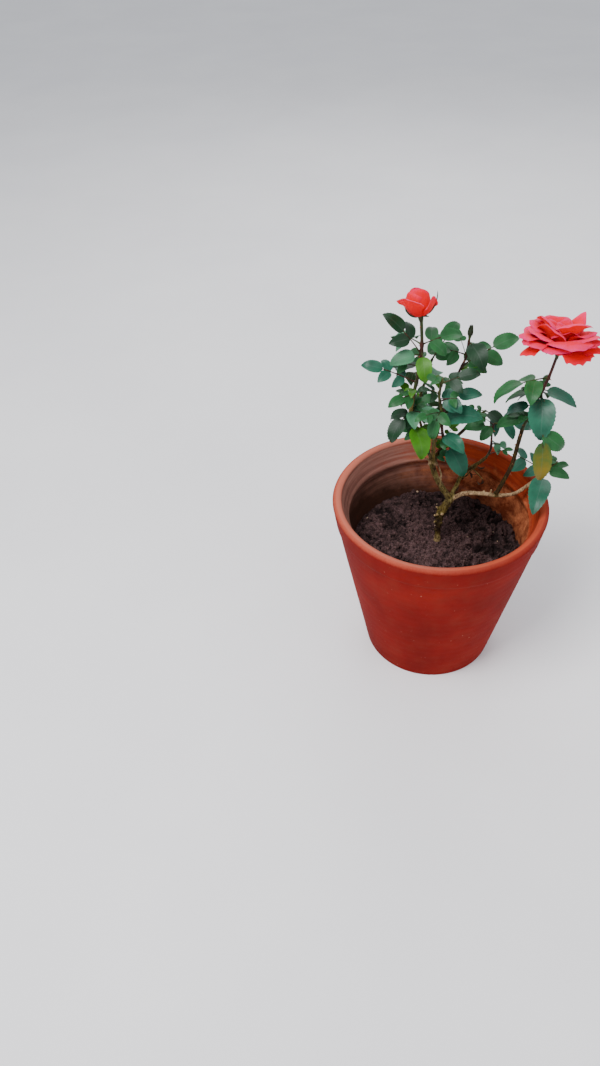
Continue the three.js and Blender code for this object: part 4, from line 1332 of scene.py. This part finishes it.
# sepals: heading, length, lean at the base and at the tip
bloomShapes = {
    "open": {
        "layers": (
            # broad petals that hang below the rest, in the darker tint that paints the shade of the petals
            # above them
            *petalSet(
                (201, 45, 36, 76, 124, 26, 34, -1, 2.0, 0.4, 0.6, 1, 0.05),
                (312, 43, 46, 72, 110, 34, 44, -1, 1.2, 0.14, 0.6, 1, 0.08),
                (350, 52, 42, 72, 100, 34, 36, -1, 2.0, 0.4),
                (262, 36, 42, 70, 98, 30, 40, -1, 1.4, 0.2, 0.6, 1, 0.05),
                (52, 48, 44, 72, 94, 40, 40, -1),
                (128, 46, 42, 72, 94, 40, 40, -1), face=2),
            # petals whose lips roll over the rim
            *petalSet(
                (250, 44, 48, 66, 72, 76, 40, 0, 1.4, 0.4, 0.64),
                (286, 58, 64, 58, 62, 96, 48, 0, 1.4, 0.42, 0.52),
                (212, 47, 52, 64, 72, 68, 38, 0, 1.4, 0.28, 0.6, 0.9),
                (190, 50, 50, 57, 64, 82, 34, 0, 1.5, 0.28, 0.64, 0.8),
                (354, 53, 54, 65, 72, 56, 38, 0, 1.5, 0.32, 0.66, 0.7),
                (28, 50, 52, 60, 66, 60, 36, 0, 1.5, 0.25, 0.7, 0.8),
                (76, 50, 54, 60, 66, 60, 36, 0, 1.5, 0.25, 0.7, 0.8),
                (118, 50, 54, 60, 66, 60, 36, 0, 1.5, 0.25, 0.7, 0.8),
                (156, 49, 52, 58, 66, 66, 34, 0, 1.5, 0.25, 0.68, 0.8),
                (226, 45, 48, 50, 56, 84, 34, 0.5, 1.3, 0.45, 0.64, 0.6),
                (196, 47, 44, 46, 52, 88, 32, 0.5, 1.4, 0.3, 0.68, 0.8),
                (242, 53, 52, 38, 42, 86, 36, 1, 1.3, 0.58, 0.74, 0.5),
                (330, 57, 56, 50, 57, 58, 36, 1, 1.5, 0.46, 0.72, 0.5)),
            # the bowl inside them
            *petalSet(
                (220, 52, 50, 28, 34, 92, 28, 1, 1.3, 0.4, 0.76, 0.6),
                (308, 56, 48, 31, 36, 84, 30, 1, 1.4, 0.3, 0.76),
                (50, 52, 32, 43, 43, 20, 18, 2, 2.2, 0.5, 0.7),
                (354, 46, 48, 42, 48, 78, 28, 1, 1.5, 0.3, 0.72, 0.8),
                (82, 40, 48, 44, 50, 84, 26, 1, 1.5, 0.22, 0.72, 0.9),
                (130, 47, 44, 32, 37, 96, 22, 1, 1.4, 0.2, 0.72),
                (176, 47, 48, 40, 46, 88, 26, 1, 1.4, 0.26, 0.7, 0.8), seat=5.5),
            *petalSet((226, 37, 38, 26, 32, 84, 20, 2, 1.6, 0.4, 0.72, 0.7), count=5, seat=5),
            *petalSet((200, 31, 30, 16, 22, 80, 13, 2, 1.6, 0.3, 0.72, 0.8), count=4, seat=4.5),
            *petalSet((240, 26, 24, 9, 10, 60, 10, 2, 1.6, 0.3, 0.7), count=3, seat=3),
            *petalSet((60, 22, 18, 4, 3, 24, 6, 2, 1, 0.3, 0.75), count=3, seat=2)),
        "tilt": 9, "hip": 1.0,
        "sepals": (
            (228, 17, 88, 120), (300, 18, 92, 136), (10, 24, 90, 130), (82, 24, 88, 126),
            (156, 24, 92, 132))},
    "halfOpen": {
        "layers": (
            *petalSet((206, 40, 42, 74, -16, 104, 15, -0.4, 0.7, 0.4), seat=5.4, late=0.75),
            *petalSet((304, 32, 28, 76, -2, 14, 16, -0.5, 1.2, 0.42), seat=5.6, late=0.75),
            *petalSet(
                (230, 39, 46, 76, -46, 6, 15), (168, 37, 40, 76, -42, 6, 15), (300, 35, 36, 58, -42, 6, 13),
                (8, 34, 34, 54, -40, 6, 13), (88, 35, 36, 64, -46, 6, 14),
                seat=5, late=0.75, flip=0, point=0.12, torn=0),
            *petalSet(
                (80, 34, 30, 46, -34, 6, 10, 1.5), count=3, seat=3, late=0.9, flip=0, point=0.12, torn=0),
            *petalSet((20, 32, 22, 16, -14, 0, 6, 2), count=3, seat=2, late=1, flip=0, point=0.2)),
        "tilt": 3, "hip": 0.85,
        "sepals": (
            (322, 38, 80, 4), (178, 24, 78, 24), (285, 10, 84, 96), (120, 24, 80, 20), (45, 24, 76, 12))},
    "bud": {
        "layers": petalSet((0, 7, 6, 2, -16, 0, 3), count=3, seat=1.2, late=1),
        "tilt": 1, "hip": 0.55, "sepals": [(heading, 15, 12, -18) for heading in (0, 72, 144, 216, 288)]},
}
petalFinish = {
    "rows": 22, "columns": 15, "thickness": 0.4, "ruffle": 0.6, "overlap": 1.1, "steps": 48,
    "turnSpread": 18, "sizeSpread": 0.12, "lopsided": 0.2, "seed": 900,
    "seatWidth": 0.22, "widest": 0.7,  # share of the width at the seat, and how far up it is full
    "sideOnset": 0.98, "flipLead": 0.2, "flipSpan": 0.5, "deepest": 2.4,
}
sepalFinish = {
    "rows": 11, "columns": 5, "half": 3.1, "thickness": 0.8, "seat": 4.4, "rise": -1.0, "cup": 0.8,
    "wave": 5, "narrowest": 0.25,
}
# radius and height
hipProfile = ((1.9, -4), (2.2, -1.5), (2.9, 1.5), (3.8, 4.5), (4.3, 7.5), (4.5, 10), (5.0, 12))
hipHeight = 10  # where petals and sepals are seated, above the stem's tip


def emptySheet(f):
    return np.zeros((f["rows"], f["columns"], 3)), np.zeros((f["rows"], f["columns"], 2))


def petalSpine(p, u, reach):
    # one column of a petal from its seat to its edge: distance from the axis, height, lean
    f = petalFinish
    steps = f["steps"]
    roll = p["roll"] * lerp(p["crest"], 1 + (1 - p["crest"]) * 0.4, abs(u))
    onset = lerp(p["onset"], f["sideOnset"], abs(u) ** 2.5) * reach
    rho, rise = p["seat"], p["rise"]
    spine = [(rho, rise, p["start"])]
    for k in range(1, steps + 1):
        s = k / steps
        lean = lerp(p["start"], p["end"], s ** p["late"])
        lean += roll * max(0, (s - onset) / (reach - onset)) ** 1.3
        rho += sine(lean) * p["length"] / steps
        rise += cosine(lean) * p["length"] / steps
        spine.append((rho, rise, lean))
    return spine


def petalGrid(seat, axis, outward, p, random):
    f = petalFinish
    steps = f["steps"]
    side = np.cross(axis, outward)
    grid, uv = emptySheet(f)
    phase = random() * 6.28
    lop = either(random, f["lopsided"])
    spread = np.linspace(-1, 1, f["columns"])
    reaches = [1 - p["point"] * abs(u) ** 1.5 + lop * u for u in spread]
    spines = [petalSpine(p, u, min(reach, 1)) for u, reach in zip(spread, reaches)]
    for i in range(f["rows"]):
        t = i / (f["rows"] - 1)
        for k, u in enumerate(spread):
            torn = p["torn"] * abs(sin(6 * u + phase)) * t ** 5
            s = clamp(t * (reaches[k] - torn))
            low = min(int(s * steps), steps - 1)
            span = zip(spines[k][low], spines[k][low + 1])
            rho, rise, lean = (lerp(a, b, s * steps - low) for a, b in span)
            full = sin(pi / 2 * min(1, s / f["widest"])) ** 0.9
            half = p["width"] / 2 * lerp(f["seatWidth"], 1, full)
            # the sides are cupped low down and turn back towards the rim
            turnBack = clamp((s / reaches[k] - p["onset"] + f["flipLead"]) / f["flipSpan"])
            curve = (1 - p["flip"] * turnBack ** 1.4) / p["cup"] + 1e-5
            bend = clamp(u * half * curve, -f["deepest"], f["deepest"])
            inward = axis * sine(lean) - outward * cosine(lean)
            ruffle = f["ruffle"] * (s ** 3 * sin(5.2 * u + phase) + 0.5 * s * sin(2.3 * u - phase))
            over = f["overlap"] * u * min(1, s * 3) * min(1, p["cup"] / 14)
            grid[i, k] = (seat + outward * (rho + over) + axis * rise + side * sin(bend) / curve
                          + inward * ((1 - cos(bend)) / curve + ruffle * min(1, p["cup"] / 20)))
            uv[i, k] = ((u + 1) / 2, t)
    return grid, uv


def sepalGrid(seat, axis, outward, size, sepal, random):
    _, length, startLean, endLean = sepal
    f = sepalFinish
    side = np.cross(axis, outward)
    grid, uv = emptySheet(f)
    rho, rise = f["seat"] * size, f["rise"]
    wave = random() * 2
    for i in range(f["rows"]):
        s = i / (f["rows"] - 1)
        lean = lerp(startLean, endLean, s) + f["wave"] * sin(6 * s + wave)
        if i:
            rho += sine(lean) * length / (f["rows"] - 1)
            rise += cosine(lean) * length / (f["rows"] - 1)
        half = max(f["half"] * (1 - s) ** 0.8 * (0.75 + 0.5 * sin(pi * min(1, s * 2))), f["narrowest"])
        inward = axis * sine(lean) - outward * cosine(lean)
        for k, u in enumerate(np.linspace(-1, 1, f["columns"])):
            grid[i, k] = seat + outward * rho + axis * rise + side * half * u + inward * (
                abs(u) ** 1.5 * half * f["cup"])
            uv[i, k] = ((u + 1) / 2, s)
    return grid, uv


def openBloom(petals, greens, name, mass):
    f = petalFinish
    kind, lean, facing = mass["bloom"]
    shape = bloomShapes[kind]
    size = shape["hip"]
    random = makeRandom(mass["seed"] + f["seed"])
    axis = pointing(90 - lean, facing)
    first = unit(np.cross(axis, vec(0, 0, 1)))
    second = np.cross(axis, first)
    tip = limbLines[name].points[-1]
    seat = tip + axis * hipHeight * size
    addTube(greens, [tip + axis * h * size for _, h in hipProfile], [r * size for r, _ in hipProfile], 14, 1,
            tones=[0.32] * len(hipProfile))

    def outwardAt(heading):
        return first * cosine(heading) + second * sine(heading)

    for layer in shape["layers"]:
        for k in range(layer["count"]):
            heading = layer["first"] + 360 * k / layer["count"] + either(random, f["turnSpread"])
            leanBy = either(random, shape["tilt"])
            own = dict(layer, length=layer["length"] * (1 + either(random, f["sizeSpread"])),
                       width=layer["width"] * (1 + either(random, f["sizeSpread"])),
                       start=layer["start"] + leanBy, end=layer["end"] + leanBy * 1.6)
            grid, uv = petalGrid(seat, axis, outwardAt(heading), own, random)
            addSheet(petals, grid[:, ::-1], f["thickness"], uv[:, ::-1], layer["face"], 1)
    for sepal in shape["sepals"]:
        grid, uv = sepalGrid(seat, axis, outwardAt(sepal[0]), size, sepal, random)
        addSheet(greens, grid[:, ::-1], sepalFinish["thickness"], uv[:, ::-1], 0, 0)


def makeBlooms():
    petals, greens = newBatch(), newBatch()
    for name, mass in masses.items():
        if "bloom" in mass:
            openBloom(petals, greens, name, mass)
    return finishBatch(petals, "petals", petalTints, 70), finishBatch(greens, "sepals", [
        leafMaterial("sepalGreen", paint(34, 44, 20), 0.6), woodMaterial("hipRind", "rind")], 60)


petalPiece, sepalPiece = makeBlooms()
print("blooms opened")


# Prickles: small hooked thorns along the stems

prickleFinish = {"spacing": 17, "height": 3.6, "width": 1.5, "hook": 1.3, "rings": 4, "sides": 5,
                 "girths": (0.5, 1.2), "taper": 1.3, "tip": -1.5, "places": (0.2, 0.8),
                 "sizes": (0.55, 1.1), "sunk": 0.82, "seed": 8}


def prickleMesh():
    # one hooked thorn along +Z, with its foot at the origin
    p = prickleFinish
    rings, sides = p["rings"], p["sides"]
    across, along = p["girths"]
    verts = []
    for t in (i / rings for i in range(rings)):
        r = p["width"] * (1 - t) ** p["taper"]
        verts += [(r * cos(a) * across, r * sin(a) * along - p["hook"] * t * t, p["height"] * t)
                  for a in circle(sides)]
    verts.append((0, p["tip"], p["height"]))
    last = (rings - 1) * sides
    faces = ringFaces(rings, sides)
    faces += [(last + k, last + (k + 1) % sides, len(verts) - 1) for k in range(sides)]
    faces.append(tuple(reversed(range(sides))))
    mesh = bpy.data.meshes.new("prickle")
    mesh.from_pydata([tuple(c * toMetres for c in v) for v in verts], [], faces)
    return mesh


def prickleFeet():
    # each point carries the thorn's outward direction and the stem's own direction
    p = prickleFinish
    random = makeRandom(p["seed"])
    places, outs, alongs = [], [], []
    for name, limb in (*((name, boughs[name]) for name in ("right_upright", "arching_bough", "left_bough")),
                       *masses.items()):
        line = limbLines[name]
        count = int(line.length / p["spacing"])
        for i in range(count):
            share = (i + lerp(*p["places"], random())) / count
            tangent = unit(line.at(min(share + 0.02, 1)) - line.at(max(share - 0.02, 0)))
            out = turned(unit(np.cross(tangent, vec(0.2, 0.5, 0.3))), tangent, 360 * random())
            places.append((line.at(share) + out * limbRadius(limb, share) * p["sunk"]) * toMetres)
            outs.append(out)
            alongs.append(tangent)
    cloud = bpy.data.meshes.new("prickleFeet")
    cloud.from_pydata([tuple(v) for v in places], [], [])
    for label, values in (("out", outs), ("along", alongs)):
        layer = cloud.attributes.new(label, "FLOAT_VECTOR", "POINT")
        layer.data.foreach_set("vector", np.array(values).ravel())
    return addObject("prickleFeet", cloud)


def makePrickles():
    p = prickleFinish
    thorn = addObject("prickle", prickleMesh())
    tree, g = newTree("prickleSet", ("Thorn", "Object"), ("Smallest", "Float"), ("Largest", "Float"),
                      ("Seed", "Int"), ("Material", "Material"))
    outWay, stemWay = (
        addNode(tree, "GeometryNodeInputNamedAttribute", {"Name": label}, data_type="FLOAT_VECTOR")
        for label in ("out", "along"))
    face = addNode(tree, "FunctionNodeAxesToRotation", {"Primary Axis": outWay, "Secondary Axis": stemWay},
                   primary_axis="Z", secondary_axis="Y")
    shape = addNode(tree, "GeometryNodeObjectInfo", {"Object": g["Thorn"]}, "Geometry")
    size = addNode(tree, "FunctionNodeRandomValue", {
        "Min": g["Smallest"], "Max": g["Largest"], "Seed": g["Seed"]}, 1)
    endTree(realized(g["Geometry"], shape, face, size), g["Material"])
    piece = runTree(tree, prickleFeet(), {
        "Thorn": thorn, "Smallest": p["sizes"][0], "Largest": p["sizes"][1], "Seed": p["seed"],
        "Material": hornMaterial()}, "prickles")
    bpy.data.objects.remove(thorn)
    return piece


pricklePiece = makePrickles()
print("prickles set")


# Floor and light

stageFinish = {
    "floor": 6, "sky": (0.9, 0.94, 1.0, 1), "skyStrength": 0.72,
    # place, aim, size, power
    "keyLight": ((-0.9, -0.7, 2.2), (0.02, 0, 0.35), 1.0, 56),
    "fillLight": ((1.6, -1.3, 1.5), (0, 0, 0.3), 1.6, 12),
    "backLight": ((0.3, 1.8, 1.7), (0, 0, 0.4), 1.4, 18),
}


def makeStage():
    f = stageFinish
    corners = [(x * f["floor"], y * f["floor"], 0) for x, y in ((-1, -1), (1, -1), (1, 1), (-1, 1))]
    mesh = bpy.data.meshes.new("floor")
    mesh.from_pydata(corners, [], [(0, 1, 2, 3)])
    material, where = startMaterial("paleFloor")
    colour = where.noise(3, 3).ramp((0.3, paint(244, 242, 244)), (0.7, paint(250, 248, 249)))
    mesh.materials.append(endMaterial(material, 0.9, 0.2, colour))
    floor = addObject("floor", mesh)
    world = bpy.data.worlds.new("studio")
    world.use_nodes = True
    sky = world.node_tree.nodes["Background"].inputs
    sky["Color"].default_value = f["sky"]
    sky["Strength"].default_value = f["skyStrength"]
    bpy.context.scene.world = world
    for label in ("keyLight", "fillLight", "backLight"):
        place, aim, size, power = f[label]
        lamp = bpy.data.lights.new(label, "AREA")
        lamp.size, lamp.energy = size, power
        light = addObject(label, lamp)
        light.location = place
        light.rotation_euler = (Vector(aim) - Vector(place)).to_track_quat("-Z", "Y").to_euler()


makeStage()

for piece in (potPiece, soilPiece, *soilBits, barkPiece, shootPiece, leafPiece, petalPiece, sepalPiece,
              pricklePiece):
    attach(piece, "root")
